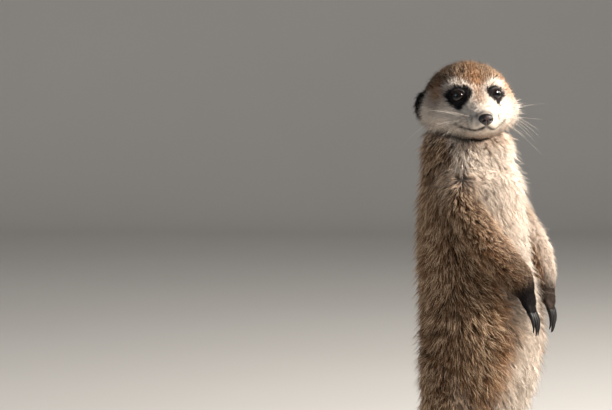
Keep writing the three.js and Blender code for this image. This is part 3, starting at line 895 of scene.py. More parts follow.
def makeCoatGroup(colours):
    # fur colour: brown ticked hair, turned cream, warm, banded or black by the marks,
    # each hair dark at its root and pale at its tip, with a random share of darker hairs
    tree = bpy.data.node_groups.new("furColour", "ShaderNodeTree")
    inputs = [("Marks", "NodeSocketColor", (0, 0, 0, 1)), ("Band", "NodeSocketFloat", 0.0),
              ("Strand", "NodeSocketColor", (0, 0.5, 0.5, 1)), ("Crown", "NodeSocketFloat", 0.0)]
    inputs += [(name, "NodeSocketColor", value) for name, value in colours.items()]
    for name, kind, value in inputs:
        tree.interface.new_socket(name, in_out="INPUT", socket_type=kind).default_value = value
    for name, kind in (("Color", "NodeSocketColor"), ("Roughness", "NodeSocketFloat")):
        tree.interface.new_socket(name, in_out="OUTPUT", socket_type=kind)
    given, out = tree.nodes.new("NodeGroupInput").outputs, tree.nodes.new("NodeGroupOutput").inputs
    pale, black, warm = channels(tree, given["Marks"])
    along, chance, lock = channels(tree, given["Strand"])

    def towardsTint(share, amount, base, tint):
        # the share times an amount of a named colour over the base
        return mixed(tree, times(tree, share, amount), base, given[tint])

    def fromTo(value, low, high, start, end):
        # one named colour turning into another as the value passes the limits
        return mixed(tree, ramp(tree, value, low, high), given[start], given[end])

    lift = plus(tree, times(tree, chance, 0.18), times(tree, lock, 0.48))
    reach = maths(tree, "SUBTRACT", plus(tree, along, lift), 0.34)
    # brown hair: dark root, brown middle, pale tip, but dark to the tip on some by chance
    tipShare = times(tree, ramp(tree, reach, 0.48, 0.95), ramp(tree, chance, 0.18, 0.50))
    brown = towardsTint(tipShare, 0.92, fromTo(reach, 0.05, 0.42, "Root", "Brown"), "Tip")
    brown = mixed(tree, times(tree, given["Band"], 0.80), brown, fromTo(reach, 0.5, 1.0, "Root", "Brown"))
    # crown: short ticked hair
    ticked = fromTo(plus(tree, reach, times(tree, chance, 0.5)), 0.35, 1.1, "Root", "Ticked")
    ticked = towardsTint(ramp(tree, chance, 0.55, 0.95), 0.45, ticked, "Tip")
    ticked = towardsTint(ramp(tree, chance, 0.22, 0.10), 0.8, ticked, "Root")
    brown = mixed(tree, times(tree, given["Crown"], 0.85), brown, ticked)
    warmHair = towardsTint(tipShare, 0.45, fromTo(reach, -0.1, 0.6, "Root", "Warm"), "Tip")
    colour = mixed(tree, warm, brown, warmHair)
    # cream hair: skin-coloured at the root, some hairs and some locks a little brown
    cream = fromTo(reach, -0.35, 0.30, "Skin", "Cream")
    cream = towardsTint(ramp(tree, chance, 0.35, 0.0), 0.14, cream, "Brown")
    cream = towardsTint(ramp(tree, lock, 0.35, 0.0), 0.14, cream, "Brown")
    paleShare = times(tree, pale, maths(tree, "SUBTRACT", 1.0, times(tree, warm, 0.55)))
    colour = mixed(tree, paleShare, colour, cream)
    shade = plus(tree, 0.78, times(tree, noise(tree, ownPlace(tree), 38.0, 2.0), 0.42))
    colour = mixed(tree, 1.0, colour, grey(tree, shade), "MULTIPLY")
    wire(tree, mixed(tree, black, colour, given["Black"]), out["Color"])
    wire(tree, maths(tree, "SUBTRACT", 0.84, times(tree, reach, 0.14)), out["Roughness"])
    return tree


furGroup = makeCoatGroup(coatColours)


def furMaterial(name, specular, bumpHeight):
    # the fur colour group fed from the mesh's marks and strand attributes, with fine grain on bare skin
    material, tree, shader = newMaterial(name, 0.65, specular)
    group = addNode(tree, "ShaderNodeGroup", {"node_tree": furGroup})
    for attribute, colour, alpha in (("marks", "Marks", "Band"), ("strand", "Strand", "Crown")):
        node = addNode(tree, "ShaderNodeAttribute", {"attribute_name": attribute})
        wire(tree, node.outputs["Color"], group.inputs[colour])
        wire(tree, node.outputs["Alpha"], group.inputs[alpha])
    paint(tree, shader, group.outputs["Color"], group.outputs["Roughness"])
    if bumpHeight:
        emboss(tree, shader, noise(tree, ownPlace(tree), 900.0, 3.0), 0.6, bumpHeight)
    return material


def hornMaterial(name, dark, pale):
    # claw horn: dark, with lengthwise streaks and duller scuffs
    material, tree, shader = newMaterial(name, 0.42, 0.3)
    place = ownPlace(tree)
    stretch = addNode(tree, "ShaderNodeMapping", values={"Scale": (900, 900, 160)})
    wire(tree, place, stretch.inputs["Vector"])
    streak = noise(tree, stretch.outputs["Vector"], 1.0, 3.0)
    scuff = plus(tree, 0.34, times(tree, noise(tree, place, 420.0, 2.0), 0.30))
    paint(tree, shader, mixed(tree, ramp(tree, streak, 0.42, 0.75), dark, pale), scuff)
    emboss(tree, shader, streak, 0.35, 0.0002)
    return material


def pebbledMaterial(name, dark, pale, cell, roughness, height, wet):
    # bare moist skin: fine pebbles, mottled dark and pale
    material, tree, shader = newMaterial(name, roughness)
    place = ownPlace(tree)
    pebbles = addNode(tree, "ShaderNodeTexVoronoi", {"feature": "SMOOTH_F1"},
                      {"Scale": cell, "Smoothness": 0.4})
    wire(tree, place, pebbles.inputs["Vector"])
    mottle = noise(tree, place, 260.0, 2.0)
    paint(tree, shader, mixed(tree, ramp(tree, mottle, 0.40, 0.78), dark, pale),
          plus(tree, roughness - 0.08, times(tree, mottle, 0.2)))
    shader.inputs["Coat Weight"].default_value = wet
    shader.inputs["Coat Roughness"].default_value = 0.22
    emboss(tree, shader, pebbles.outputs["Distance"], 0.5, height, invert=True)
    return material


eyeColours = {
    "pupil": (0.003, 0.003, 0.003, 1), "limbus": (0.008, 0.006, 0.005, 1), "white": (0.030, 0.016, 0.011, 1),
    "irisDark": (0.009, 0.004, 0.003, 1), "irisPale": (0.032, 0.013, 0.006, 1),
}


def eyeMaterial(name, colours):
    # colours by the angle from the gaze, kept in the iris attribute: pupil, streaked iris, limbus, dark white
    material, tree, shader = newMaterial(name, 0.12, 0.15)
    iris = addNode(tree, "ShaderNodeAttribute", {"attribute_name": "iris"})
    out, around, _ = channels(tree, iris.outputs["Color"])
    across = addNode(tree, "ShaderNodeCombineXYZ")
    wire(tree, times(tree, around, 60.0), across.inputs[0])
    wire(tree, times(tree, out, 5.0), across.inputs[1])
    streak = noise(tree, across.outputs[0], 1.0, 3.0, {"noise_dimensions": "2D"})
    brown = mixed(tree, ramp(tree, streak, 0.35, 0.7), colours["irisDark"], colours["irisPale"])
    colour = mixed(tree, ramp(tree, out, 0.28, 0.33), colours["pupil"], brown)
    colour = mixed(tree, ramp(tree, out, 0.50, 0.60), colour, colours["limbus"])
    paint(tree, shader, mixed(tree, ramp(tree, out, 0.66, 0.80), colour, colours["white"]))
    shader.inputs["Coat Weight"].default_value = 0.65
    shader.inputs["Coat Roughness"].default_value = 0.02
    return material


def strandMaterial(name, rootColour, tipColour):
    # pale horn-coloured hair with slow colour change along it
    material, tree, shader = newMaterial(name, 0.38)
    drift = noise(tree, ownPlace(tree), 90.0, 1.0)
    paint(tree, shader, mixed(tree, ramp(tree, drift, 0.35, 0.65), rootColour, tipColour))
    return material


def stageMaterial(name, colour):
    # matt paper with a faint mottle, 6 % darker at its darkest
    material, tree, shader = newMaterial(name, 0.9, 0.2)
    darker = tuple(c * 0.94 for c in colour[:3]) + (1,)
    paint(tree, shader, mixed(tree, noise(tree, ownPlace(tree), 3.0, 3.0), darker, colour))
    return material


coatFur = furMaterial("coatFur", 0.12, 0)
skinFur = furMaterial("skinFur", 0.08, 0.0004)
clawHorn = hornMaterial("clawHorn", (0.004, 0.003, 0.003, 1), (0.014, 0.011, 0.009, 1))
noseLeather = pebbledMaterial(
    "noseLeather", (0.005, 0.004, 0.004, 1), (0.044, 0.020, 0.018, 1), 2300.0, 0.38, 0.00012, 0.2)
lidLeather = pebbledMaterial(
    "lidLeather", (0.008, 0.006, 0.006, 1), (0.020, 0.015, 0.014, 1), 2600.0, 0.62, 0.00010, 0.05)
eyeGloss = eyeMaterial("eyeGloss", eyeColours)
paleHair = strandMaterial("paleHair", (0.30, 0.22, 0.16, 1), (0.82, 0.74, 0.64, 1))
report("materials")

# floor and backdrop
stageSetup = {"reach": 30.0, "back": 2.6, "bend": 0.9, "tall": 3.0, "colour": (0.60, 0.585, 0.56, 1)}


def addStage(setup, azimuth):
    # a level floor that bends up into a backdrop behind the animal: a profile drawn sideways
    turn = math.radians(azimuth)
    away = np.array([-math.sin(turn), math.cos(turn), 0])
    side = np.array([math.cos(turn), math.sin(turn), 0])
    bend = np.linspace(0, np.pi / 2, 24)
    depth = setup["back"] + setup["bend"] * np.sin(bend)
    depth = np.concatenate([[-setup["reach"]], depth, [setup["back"] + setup["bend"]]])
    tall = np.concatenate([[0], setup["bend"] * (1 - np.cos(bend)), [setup["tall"]]])
    width = np.linspace(-setup["reach"], setup["reach"], 9)
    points = depth[:, None, None] * away + width[None, :, None] * side
    points[..., 2] += tall[:, None]
    quads = gridFaces(len(depth), len(width), wrap=False)[:, ::-1]
    stage = meshFrom("studioFloor", points.reshape(-1, 3), quads, inScene=True)
    stage.data.materials.append(stageMaterial("studioPaper", setup["colour"]))


addStage(stageSetup, cameraSetup["azimuth"])

# eyes and lids
bodyName = list(frame["bodies"])[0]


def keep(piece, material, nodes=()):
    # material, body, slot and the nodes that the piece stands for
    piece.data.materials.clear()
    piece.data.materials.append(material)
    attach(piece, bodyName)
    if nodes:
        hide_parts(*nodes)
    return piece


eyeBallSetup = {"rings": 42, "sides": 64, "under": 0.12, "bulge": 0.42, "bulgeReach": 0.62}
lidSetup = {
    "sides": 72, "reach": 1.32, "droop": 0.10, "corner": 0.10, "fold": 0.10, "inner": 0.9,
    # from the opening's edge out under the coat: share of the way, and height over the ball
    "share": [0, 0.02, 0.05, 0.09, 0.14, 0.22, 0.34, 0.5, 0.7, 0.86, 1.0],
    "height": [-0.35, 0.12, 0.38, 0.52, 0.56, 0.52, 0.42, 0.36, 0.34, 0.30, 0.20],
}


def eyeBall(side, setup):
    # ball about the gaze with a clear bulge over the iris: radius grows by a bell of the angle
    centre, axis, sideways, up = eyeFrame(side)
    sides = setup["sides"]
    polar = np.linspace(0, np.pi, setup["rings"])[1:-1]
    around = np.arange(sides) * 2 * np.pi / sides
    bulge = setup["bulge"] * np.exp(-((polar / setup["bulgeReach"]) ** 4))
    radius = eyeSetup["radius"] - setup["under"] + bulge
    ring = np.cos(around)[None, :, None] * sideways + np.sin(around)[None, :, None] * up
    way = np.cos(polar)[:, None, None] * axis + np.sin(polar)[:, None, None] * ring
    points, quads, triangles = closedTube(fromHead(centre + radius[:, None, None] * way))
    points[-2] = fromHead(centre + axis * radius[0])
    points[-1] = fromHead(centre - axis * radius[-1])
    iris = np.zeros((len(points), 4))
    iris[:-2, 0] = np.repeat(polar / np.pi * 2, sides)
    iris[:-2, 1] = np.tile(around / (2 * np.pi), len(polar))
    iris[-1, 0] = 2
    return *facingOut(points, quads, triangles), iris


def lidRing(side, setup):
    # both lids as one ring on the ball: from the opening's edge, over a rounded rim, out under the coat
    centre, axis, sideways, up = eyeFrame(side)
    sides, share = setup["sides"], np.array(setup["share"])
    around = np.arange(sides) * 2 * np.pi / sides
    c, s = np.cos(around), np.sin(around)
    high = eyeSetup["openHigh"] * np.where(s > 0, 1 - setup["droop"], 1)
    corner = 1 + setup["corner"] * np.exp(-((np.abs(c) - 1) / 0.05) ** 2)
    opening = np.hypot(eyeSetup["openWide"] * c * corner, high * s) / (eyeSetup["radius"] + 0.2)
    opening = np.arcsin(np.clip(opening, 0, 0.97))
    fold = setup["fold"] * np.sin(share * 40)[:, None] * (share < 0.6)[:, None] * np.maximum(s, 0)[None]
    height = (np.array(setup["height"]) + eyeSetup["radius"])[:, None] + fold
    angle = opening[None] + (setup["reach"] - opening[None]) * share[:, None]
    ring = c[None, :, None] * sideways + s[None, :, None] * up
    way = np.cos(angle)[..., None] * axis + np.sin(angle)[..., None] * ring
    inner = centre + (eyeSetup["radius"] - setup["inner"]) * way[[-1, 0]]
    rows = np.concatenate([centre + height[..., None] * way, inner])
    closing = gridFaces(2, sides)  # joins the last row to the first
    closing = np.where(closing < sides, closing + (len(rows) - 1) * sides, closing - sides)
    quads = np.vstack([gridFaces(len(rows), sides), closing])
    return facingOut(fromHead(rows.reshape(-1, 3)), quads, np.zeros((0, 3), int))


for sideName, side in (("Left", 1), ("Right", -1)):
    *ball, iris = eyeBall(side, eyeBallSetup)
    eye = meshFrom("eyeball" + sideName, *ball)
    setColours(eye, "iris", iris)
    keep(eye, eyeGloss, ["eye_" + sideName.lower()])
    keep(meshFrom("eyelids" + sideName, *lidRing(side, lidSetup)), lidLeather)
report("eyes and lids")

# nose pad
noseSetup = {
    "centre": (0, -43.6, -8.4), "radii": (4.5, 3.5, 3.6), "sides": 96, "rings": 66,
    "nostril": 1.5, "slit": 0.7, "wing": 0.28, "groove": 0.55,  # how deep or high each is
}


def nosePad(setup):
    # an egg about the snout's tip with two comma nostrils, wings above them and a groove down the middle
    around = np.arange(setup["sides"]) * 2 * np.pi / setup["sides"]
    polar = np.linspace(0, np.pi, setup["rings"])[1:-1]
    x = np.sin(polar)[:, None] * np.cos(around)[None]
    z = np.sin(polar)[:, None] * np.sin(around)[None]
    y = -np.cos(polar)[:, None] * np.ones(len(around))[None]
    widen = 1 + 0.10 * z - 0.16 * np.clip(-z, 0, 1) ** 2
    q = np.stack([x * widen, y, z], -1) * setup["radii"]
    ax, az = np.abs(q[..., 0]), q[..., 2]
    nostril = np.exp(-(((ax - 2.05) / 0.85) ** 2 + ((az + 0.25 + 0.25 * (ax - 2)) / 0.62) ** 2) ** 1.3)
    slit = np.exp(-(((ax - 3.2) / 0.9) ** 2 + ((az + 0.75) / 0.35) ** 2) ** 1.2)
    wing = hump(ax, 2.3, 1.3) * hump(az, 0.9, 0.55)
    groove = hump(ax, 0, 0.32) * (az < 1.2) * smooth(1.3, -0.4, az)
    move = (-setup["nostril"] * nostril - setup["slit"] * slit + setup["wing"] * wing
            - setup["groove"] * groove) * np.clip(-y, 0, 1)
    q = q + unit(q) * move[..., None] + np.array(setup["centre"])
    return facingOut(*closedTube(fromHead(q)))


keep(meshFrom("nosePad", *nosePad(noseSetup)), noseLeather, ["nose"])

# claws
clawSetup = {"thick": 1.5, "bend": {"hand": 0.8, "foot": 0.6}, "sides": 20, "rings": 22,
             "sunk": 0.4, "thinning": 0.80, "bluntFrom": 0.96, "blunt": 0.75, "narrow": 0.8}


def clawShape(path, length, bendMost, setup):
    # an oval carried along a circular arc, thinning to a blunt tip, keeled above and hollowed below
    share = np.linspace(0, 1, setup["rings"])
    radius = length / bendMost
    root = path["tip"] - setup["sunk"] * path["hook"]
    bend = share * bendMost
    line = root + radius * (np.sin(bend)[:, None] * path["ahead"]
                            + (1 - np.cos(bend))[:, None] * path["hook"])
    along = np.cos(bend)[:, None] * path["ahead"] + np.sin(bend)[:, None] * path["hook"]
    side = unit(np.cross(path["ahead"], path["hook"]))
    under = np.cross(along, side)
    under = under * np.sign((under @ path["hook"]).mean())
    thick = setup["thick"] * (1 - setup["thinning"] * share ** 1.4)
    thick = thick * np.where(share > setup["bluntFrom"], setup["blunt"], 1)
    angle = np.arange(setup["sides"]) * 2 * np.pi / setup["sides"]
    wide, deep = np.cos(angle), np.sin(angle)
    keel = np.where(deep < 0, 1.06 - 0.10 * np.abs(wide), 0.86 - 0.22 * hump(wide, 0, 0.4))
    oval = setup["narrow"] * wide[None, :, None] * side + (deep * keel)[None, :, None] * under[:, None]
    return closedTube(line[:, None] + thick[:, None, None] * oval)


for fanName, fan in fans.items():
    limb = fanName[:4]
    level = {"ahead": np.array([0, -1.0, 0]), "hook": np.array([0, 0, -1.0])} if limb == "foot" else {}
    grids = [clawShape(path | level, fan["claw"] * path["longer"], clawSetup["bend"][limb], clawSetup)
             for path in digitPaths(fanName)]
    claws = meshFrom("claws" + fanName[0].upper() + fanName[1:], *joinGrids(grids))
    keep(claws, clawHorn, [f"claw_{limb}_{fanName[4:].lower()}_{i + 1}" for i in range(4)])
report("nose and claws")

fleshNodes = [name for name in frame["nodes"] if not name.startswith(("claw", "eye", "nose"))]
skin.data.materials.clear()
keep(skin, skinFur, fleshNodes)

# the coat: roots spread over the skin, then one tapered tuft at each root
coatSetup = {
    "seed": 4, "clump": 2.2, "fineClump": 0.55, "gather": 0.60, "lockStray": 0.26, "stray": 0.14,
    # guard hairs: their share, how much longer and thinner they are, how far they stand up, and the hair
    # length, or on the cheeks the share of the ruff, from which they grow
    "guard": {"share": 0.09, "longer": 1.30, "thinner": 0.72, "up": 0.24, "from": 3.2},
    "cheekGuard": {"share": 0.14, "longer": 1.5, "up": 0.30, "from": 0.30},
    "longer": {"trunk": 0.22, "ear": 0.8, "ruff": 0.45, "throat": 1.9},
    "up": {"ruff": 0.04, "throat": 0.30, "neck": 0.30, "whorl": 0.12},
    "snoutDenser": 2.2, "napeThinner": 1.3,
}
coatByRegion = {  # tufts per square millimetre, width in millimetres, and degrees off the skin
    "density": {"trunk": 1.75, "tail": 1.7, "head": 4.4, "ear": 4.0,
                "arm": 2.7, "hand": 4.5, "leg": 1.7, "foot": 3.2},
    "width": {"trunk": 0.30, "tail": 0.27, "head": 0.17, "ear": 0.15,
              "arm": 0.23, "hand": 0.14, "leg": 0.27, "foot": 0.16},
    "lift": {"trunk": 25, "tail": 22, "head": 24, "ear": 18, "arm": 22, "hand": 16, "leg": 22, "foot": 16},
}
whorlCoat = {"at": np.array([[-27.0, -9.5, 246.0], [27.0, -8.5, 246.0]]),
             "reach": 11.0, "pull": 1.6, "upReach": 10}
lieSetup = {"backFan": 0.55, "turn": 0.10, "eyePull": 1.6, "eyeReach": 8.5, "cheekPull": 0.9}
random = np.random.default_rng(coatSetup["seed"])


def skinTriangles(piece):
    # corners of a piece's triangles, and the normal at each vertex
    mesh = piece.data
    mesh.calc_loop_triangles()
    corners = np.empty(len(mesh.loop_triangles) * 3, np.int32)
    mesh.loop_triangles.foreach_get("vertices", corners)
    normals = np.empty(len(mesh.vertices) * 3, np.float32)
    mesh.vertices.foreach_get("normal", normals)
    return corners.reshape(-1, 3), normals.reshape(-1, 3).astype(float)


def byRegion(place, measure):
    # a measure of the coat blended by each point's share of the regions
    return sum(shareOf(place, name) * value for name, value in coatByRegion[measure].items())


def spreadRoots(points, normals, triangles, density):
    # roots in proportion to area times density, evenly stepped through the triangles in order
    a, b, c = (points[triangles[:, i]] for i in range(3))
    area = 0.5 * np.linalg.norm(np.cross(b - a, c - a), axis=1)
    total = np.cumsum(area * density[triangles].mean(1))
    count = int(total[-1])
    picks = np.searchsorted(total, (np.arange(count) + random.uniform(0, 1, count)) * total[-1] / count)
    picks = np.minimum(picks, len(triangles) - 1)
    u, v = random.uniform(0, 1, (2, count))
    fold = u + v > 1
    u, v = np.where(fold, 1 - u, u), np.where(fold, 1 - v, v)
    mix = np.stack([1 - u - v, u, v], -1)[..., None]
    return (points[triangles[picks]] * mix).sum(1), unit((normals[triangles[picks]] * mix).sum(1))


def lieOfCoat(p, n, place, setup):
    # direction that each hair lies in: along its part, fanned out from the flank line, round the whorl,
    # away from the eyes, then laid flat on the skin
    lie = unit(place["lie"])
    body = shareOf(place, "trunk")[:, None]
    out = p - trunkLine["centre"][trunkLevel(p)]
    angle = np.arctan2(-out[:, 1], out[:, 0])
    around = np.stack([-np.sin(angle), -np.cos(angle), np.zeros(len(p))], -1)
    fanOut = np.where(np.sin(angle) > 0, 1.0, setup["backFan"])
    fanOut = fanOut * np.sin(2 * (angle + setup["turn"] * np.sign(np.cos(angle))))
    fanOut = fanOut * smooth(100, 130, p[:, 2]) * smooth(232, 205, p[:, 2])
    lie = lie + body * around * fanOut[:, None]
    for centre in whorlCoat["at"]:
        away = p - centre
        far = np.linalg.norm(away, axis=1, keepdims=True)
        lie = lie + whorlCoat["pull"] * away / np.maximum(far, 0.5) * hump(far, 0, whorlCoat["reach"])
    q = toHead(p)
    onHead = shareOf(place, "head")[:, None]
    for side in (1, -1):
        away = q - np.array(eyeSetup["centre"]) * (side, 1, 1)
        far = np.linalg.norm(away, axis=1, keepdims=True)
        outward = (away / np.maximum(far, 0.5)) @ headTurn.T
        lie = lie + setup["eyePull"] * onHead * outward * hump(far, 0, setup["eyeReach"])
    # cheeks sweep out and down, the ears' coat back
    down = np.stack([0.5 * np.sign(q[:, 0]), 0.2 * np.ones(len(q)), -np.ones(len(q))], -1) @ headTurn.T
    lie = lie + setup["cheekPull"] * onHead * down * headSpot(q, "ruff")[:, None]
    lie = lie + shareOf(place, "ear")[:, None] * (np.array([0, 1.2, -0.5]) @ headTurn.T)
    return unit(lie - n * dot(lie, n) + 1e-6)


def cellsOf(p, size, seed):
    # number of the lock that each point belongs to: wobbly cubes hashed and counted
    wobble = np.stack([softNoise(p, size * 1.3, seed + k) for k in range(3)], -1) * size * 0.45
    cell = np.floor((p + wobble) / size).astype(np.int64)
    key = (cell[:, 0] * 73856093) ^ (cell[:, 1] * 19349663) ^ (cell[:, 2] * 83492791)
    return np.unique(key, return_inverse=True)[1].ravel()


def tuftDensity():
    # tufts per area at each vertex of the skin: none over the open eyes, the nose pad and the soles
    q = toHead(skinPoints)
    density = byRegion(skinPlace, "density")
    snout = coatSetup["snoutDenser"] * smooth(-14, -30, q[:, 1])
    nape = coatSetup["napeThinner"] * smooth(4, 18, q[:, 1])
    density = density + shareOf(skinPlace, "head") * (snout - nape)
    for side in (1, -1):
        centre, axis, _, _ = eyeFrame(side)
        away = q - centre
        far = np.linalg.norm(away, axis=1)
        leaning = (away @ axis) / np.maximum(far, 1e-6)
        density = density * (1 - (far < faceSetup["eyeReach"]) * smooth(0.62, 0.70, leaning))
    fromNose = np.linalg.norm((q - np.array(noseSetup["centre"])) / noseSetup["radii"], axis=1)
    density = density * (1 - np.exp(-((fromNose / 1.02) ** 8)))
    density = density * smooth(0.4, 1.6, skinPoints[:, 2])
    return np.maximum(density, 0)


def lockNumbers(p, place):
    # which lock each tuft belongs to, with finer locks on the head, ears, hands and feet
    coarse = cellsOf(p, coatSetup["clump"], 31)
    fine = cellsOf(p, coatSetup["clump"] * coatSetup["fineClump"], 41)
    small = sum(shareOf(place, name) for name in ("head", "hand", "foot", "ear"))
    lock = np.where(small > 0.5, fine + coarse.max() + 1, coarse)
    return np.unique(lock, return_inverse=True)[1].ravel()


def growHair():
    # one record of arrays for the whole coat: each tuft turns, lifts and lengthens by chance about its
    # region's measure, and its tip is gathered towards the middle of its lock
    triangles, normals = skinTriangles(skin)
    p, n = spreadRoots(skinPoints, normals, triangles, tuftDensity())
    place = placeOnBody(p)
    marks, crown = markings(p, place)
    lie = lieOfCoat(p, n, place, lieSetup)
    lock = lockNumbers(p, place)
    count, locks = len(p), lock.max() + 1

    def each(low, high):
        # a chance for every tuft
        return random.uniform(low, high, count)

    def eachLock(low, high):
        # a chance for every lock, given to its tufts
        return low + (high - low) * random.uniform(0, 1, locks)[lock]

    size = np.bincount(lock, minlength=locks)
    middle = np.stack([np.bincount(lock, p[:, k], locks) / size for k in range(3)], -1)
    turn = random.normal(0, coatSetup["lockStray"], locks)[lock] + random.normal(0, coatSetup["stray"], count)
    way = unit(lie * np.cos(turn)[:, None] + np.cross(n, lie) * np.sin(turn)[:, None])
    length = place["hair"] * each(0.78, 1.15) * eachLock(0.88, 1.12)
    lift = np.radians(byRegion(place, "lift")) * each(0.65, 1.35)
    lift = lift * eachLock(0.8, 1.2)
    width = byRegion(place, "width") * each(0.8, 1.25)
    longer, up = coatSetup["longer"], coatSetup["up"]
    for centre in whorlCoat["at"]:
        lift = lift + up["whorl"] * hump(np.linalg.norm(p - centre, axis=1), 0, whorlCoat["upReach"])
    head, trunk, q = shareOf(place, "head"), shareOf(place, "trunk"), toHead(p)
    cheek, throat = headSpot(q, "ruff"), headSpot(q, "throat")
    length = length * (1 + head * (longer["ruff"] * cheek + longer["throat"] * throat))
    length = length * (1 + longer["trunk"] * trunk) * (1 + longer["ear"] * shareOf(place, "ear"))
    lift = lift + head * (up["ruff"] * cheek + up["throat"] * throat)
    lift = lift + up["neck"] * trunk * smooth(255, 268, p[:, 2])
    for kind, where in (("guard", place["hair"]), ("cheekGuard", head * cheek)):
        one = coatSetup[kind]
        chosen = (each(0, 1) < one["share"]) & (where > one["from"])
        length = length * np.where(chosen, one["longer"], 1)
        width = width * np.where(chosen, one.get("thinner", 1), 1)
        lift = lift + np.where(chosen, one["up"], 0)
    toMiddle = middle[lock] + way * (length * 0.85)[:, None] - p
    toMiddle = toMiddle - n * dot(toMiddle, n)
    tipWay = unit(way * (1 - coatSetup["gather"]) * length[:, None] + toMiddle * coatSetup["gather"])
    return {"root": p, "normal": n, "way": way, "tipWay": tipWay,
            "length": length, "lift": lift, "width": width,
            "marks": marks, "crown": crown, "place": place, "chance": each(0, 1), "lock": eachLock(0, 1)}


hair = growHair()
report(f"{len(hair['root'])} tufts rooted")


# how deep and how far back a tuft's root lies, where its middle ring is and how wide, how flat the blade is,
# and how the lift is shared between its first and last stretch
tuftSetup = {"sunk": 0.25, "back": 0.2, "middleAt": 0.48, "middleWide": 0.78, "flat": 0.7,
             "early": 1.25, "late": 0.75}
shortTuft = {
    "faces": np.array([[0, 1, 3], [1, 2, 3], [2, 0, 3], [2, 1, 0]]),
    "along": [0, 0, 0, 1],
}
longTuft = {
    "faces": np.array([[0, 1, 4], [0, 4, 3], [1, 2, 5], [1, 5, 4], [2, 0, 3], [2, 3, 5],
                       [3, 4, 6], [4, 5, 6], [5, 3, 6], [2, 1, 0]]),
    "along": [0, 0, 0, 0.5, 0.5, 0.5, 1],
}


def tuftMesh(name, pick, short, setup):
    # each tuft is a three-sided blade: a ring at the root, a ring part way unless short, and a tip
    root, n, way, tipWay = (hair[key][pick] for key in ("root", "normal", "way", "tipWay"))
    length, lift, width = (hair[key][pick][:, None] for key in ("length", "lift", "width"))
    count = len(root)
    start = unit(np.cos(lift * setup["early"]) * way + np.sin(lift * setup["early"]) * n)
    end = unit(np.cos(lift * setup["late"]) * tipWay + np.sin(lift * setup["late"]) * n)
    across = unit(np.cross(n, start))
    above = np.cross(start, across)
    base = root - n * setup["sunk"] - start * setup["back"]
    middle = root + start * length * setup["middleAt"]
    tip = middle + end * length * (1 - setup["middleAt"])
    for line in (base, middle, tip):  # laid along the floor where it would pass through it
        line[:, 2] = np.maximum(line[:, 2], width[:, 0] + 0.1)
    rings = []
    for at, wide in ((base, width), (middle, width * setup["middleWide"]))[:1 if short else 2]:
        for corner in np.radians([90, 210, 330]):
            rings.append(at + wide * (across * math.cos(corner) + above * math.sin(corner) * setup["flat"]))
    points = np.stack(rings + [tip], 1)
    each = points.shape[1]
    faces, along = (shortTuft if short else longTuft).values()
    if signedVolume(points[0], faces) < 0:
        faces = faces[:, ::-1]
    triangles = (np.arange(count)[:, None, None] * each + faces[None]).reshape(-1, 3)
    piece = meshFrom(name, points.reshape(-1, 3), None, triangles)
    setColours(piece, "marks", np.repeat(hair["marks"][pick], each, 0))
    chances = [np.repeat(hair[key][pick], each) for key in ("chance", "lock", "crown")]
    setColours(piece, "strand", np.column_stack([np.tile(along, count), *chances]))
    addBakeMap(piece, pick, each, along)
    keep(piece, coatFur)
    return len(triangles)


def addBakeMap(piece, pick, each, along):
    # OFBake: a patch 0.003 across for each tuft, at its root's place on an unrolled skin
    place = hair["place"]
    part = place["part"][pick]
    u = (place["angle"][pick] / (2 * np.pi)) % 1.0
    v = place["number"][pick].astype(float)
    used = np.unique(part)
    for k, one in enumerate(used):  # one strip for each part of the body
        mine = part == one
        low, high = v[mine].min(), v[mine].max()
        v[mine] = (v[mine] - low) / max(high - low, 1e-3)
        u[mine] = (k + 0.02 + 0.96 * u[mine]) / len(used)
    patch = 0.003
    spot = np.stack([u, v], -1) * (1 - 2 * patch) + patch
    turn = np.array([-0.5, 0.5, 0.0])
    rows = [(turn[i % 3] * patch * (1 - along[i]), (along[i] - 0.5) * patch) for i in range(each)]
    corners = (spot[:, None] + np.array(rows)[None]).reshape(-1, 2)
    corners = (corners - corners.min(0)) / (corners.max(0) - corners.min(0))
    layer = piece.data.uv_layers.new(name="OFBake")
    order = np.empty(len(piece.data.loops), np.int32)
    piece.data.loops.foreach_get("vertex_index", order)
    layer.data.foreach_set("uv", corners[order].astype(np.float32).ravel())


coatCuts = {"face": 2, "neck": 228, "hip": 160}
shortCoats = ("coatFace", "coatHeadBack", "coatEars", "coatHands", "coatFeet")


def coatPieces(cuts):
    # shares the tufts out so that no piece passes the size that the export thins
    root = hair["root"]
    region = np.array(regionNames)[hair["place"]["region"]]
    z, left = root[:, 2], root[:, 0] > 0
    head, trunk = region == "head", region == "trunk"
    face = head & (toHead(root)[:, 1] < cuts["face"])
    pieces = {"coatFace": face, "coatHeadBack": head & ~face, "coatEars": region == "ear",
              "coatNeck": trunk & (z > cuts["neck"])}
    flank, hip = trunk & (z <= cuts["neck"]) & (z > cuts["hip"]), trunk & (z <= cuts["hip"])
    for kind, share in (("Flank", flank), ("Hip", hip), ("Arm", region == "arm"), ("Leg", region == "leg")):
        pieces[f"coat{kind}Right"], pieces[f"coat{kind}Left"] = share & ~left, share & left
    pieces |= {"coatTail": region == "tail", "coatHands": region == "hand", "coatFeet": region == "foot"}
    total = 0
    for name, chosen in pieces.items():
        made = tuftMesh(name, np.flatnonzero(chosen), name in shortCoats, tuftSetup)
        total += made
        print(f"[meerkat] {name}: {made} triangles")
    report(f"coat of {total} triangles")


coatPieces(coatCuts)

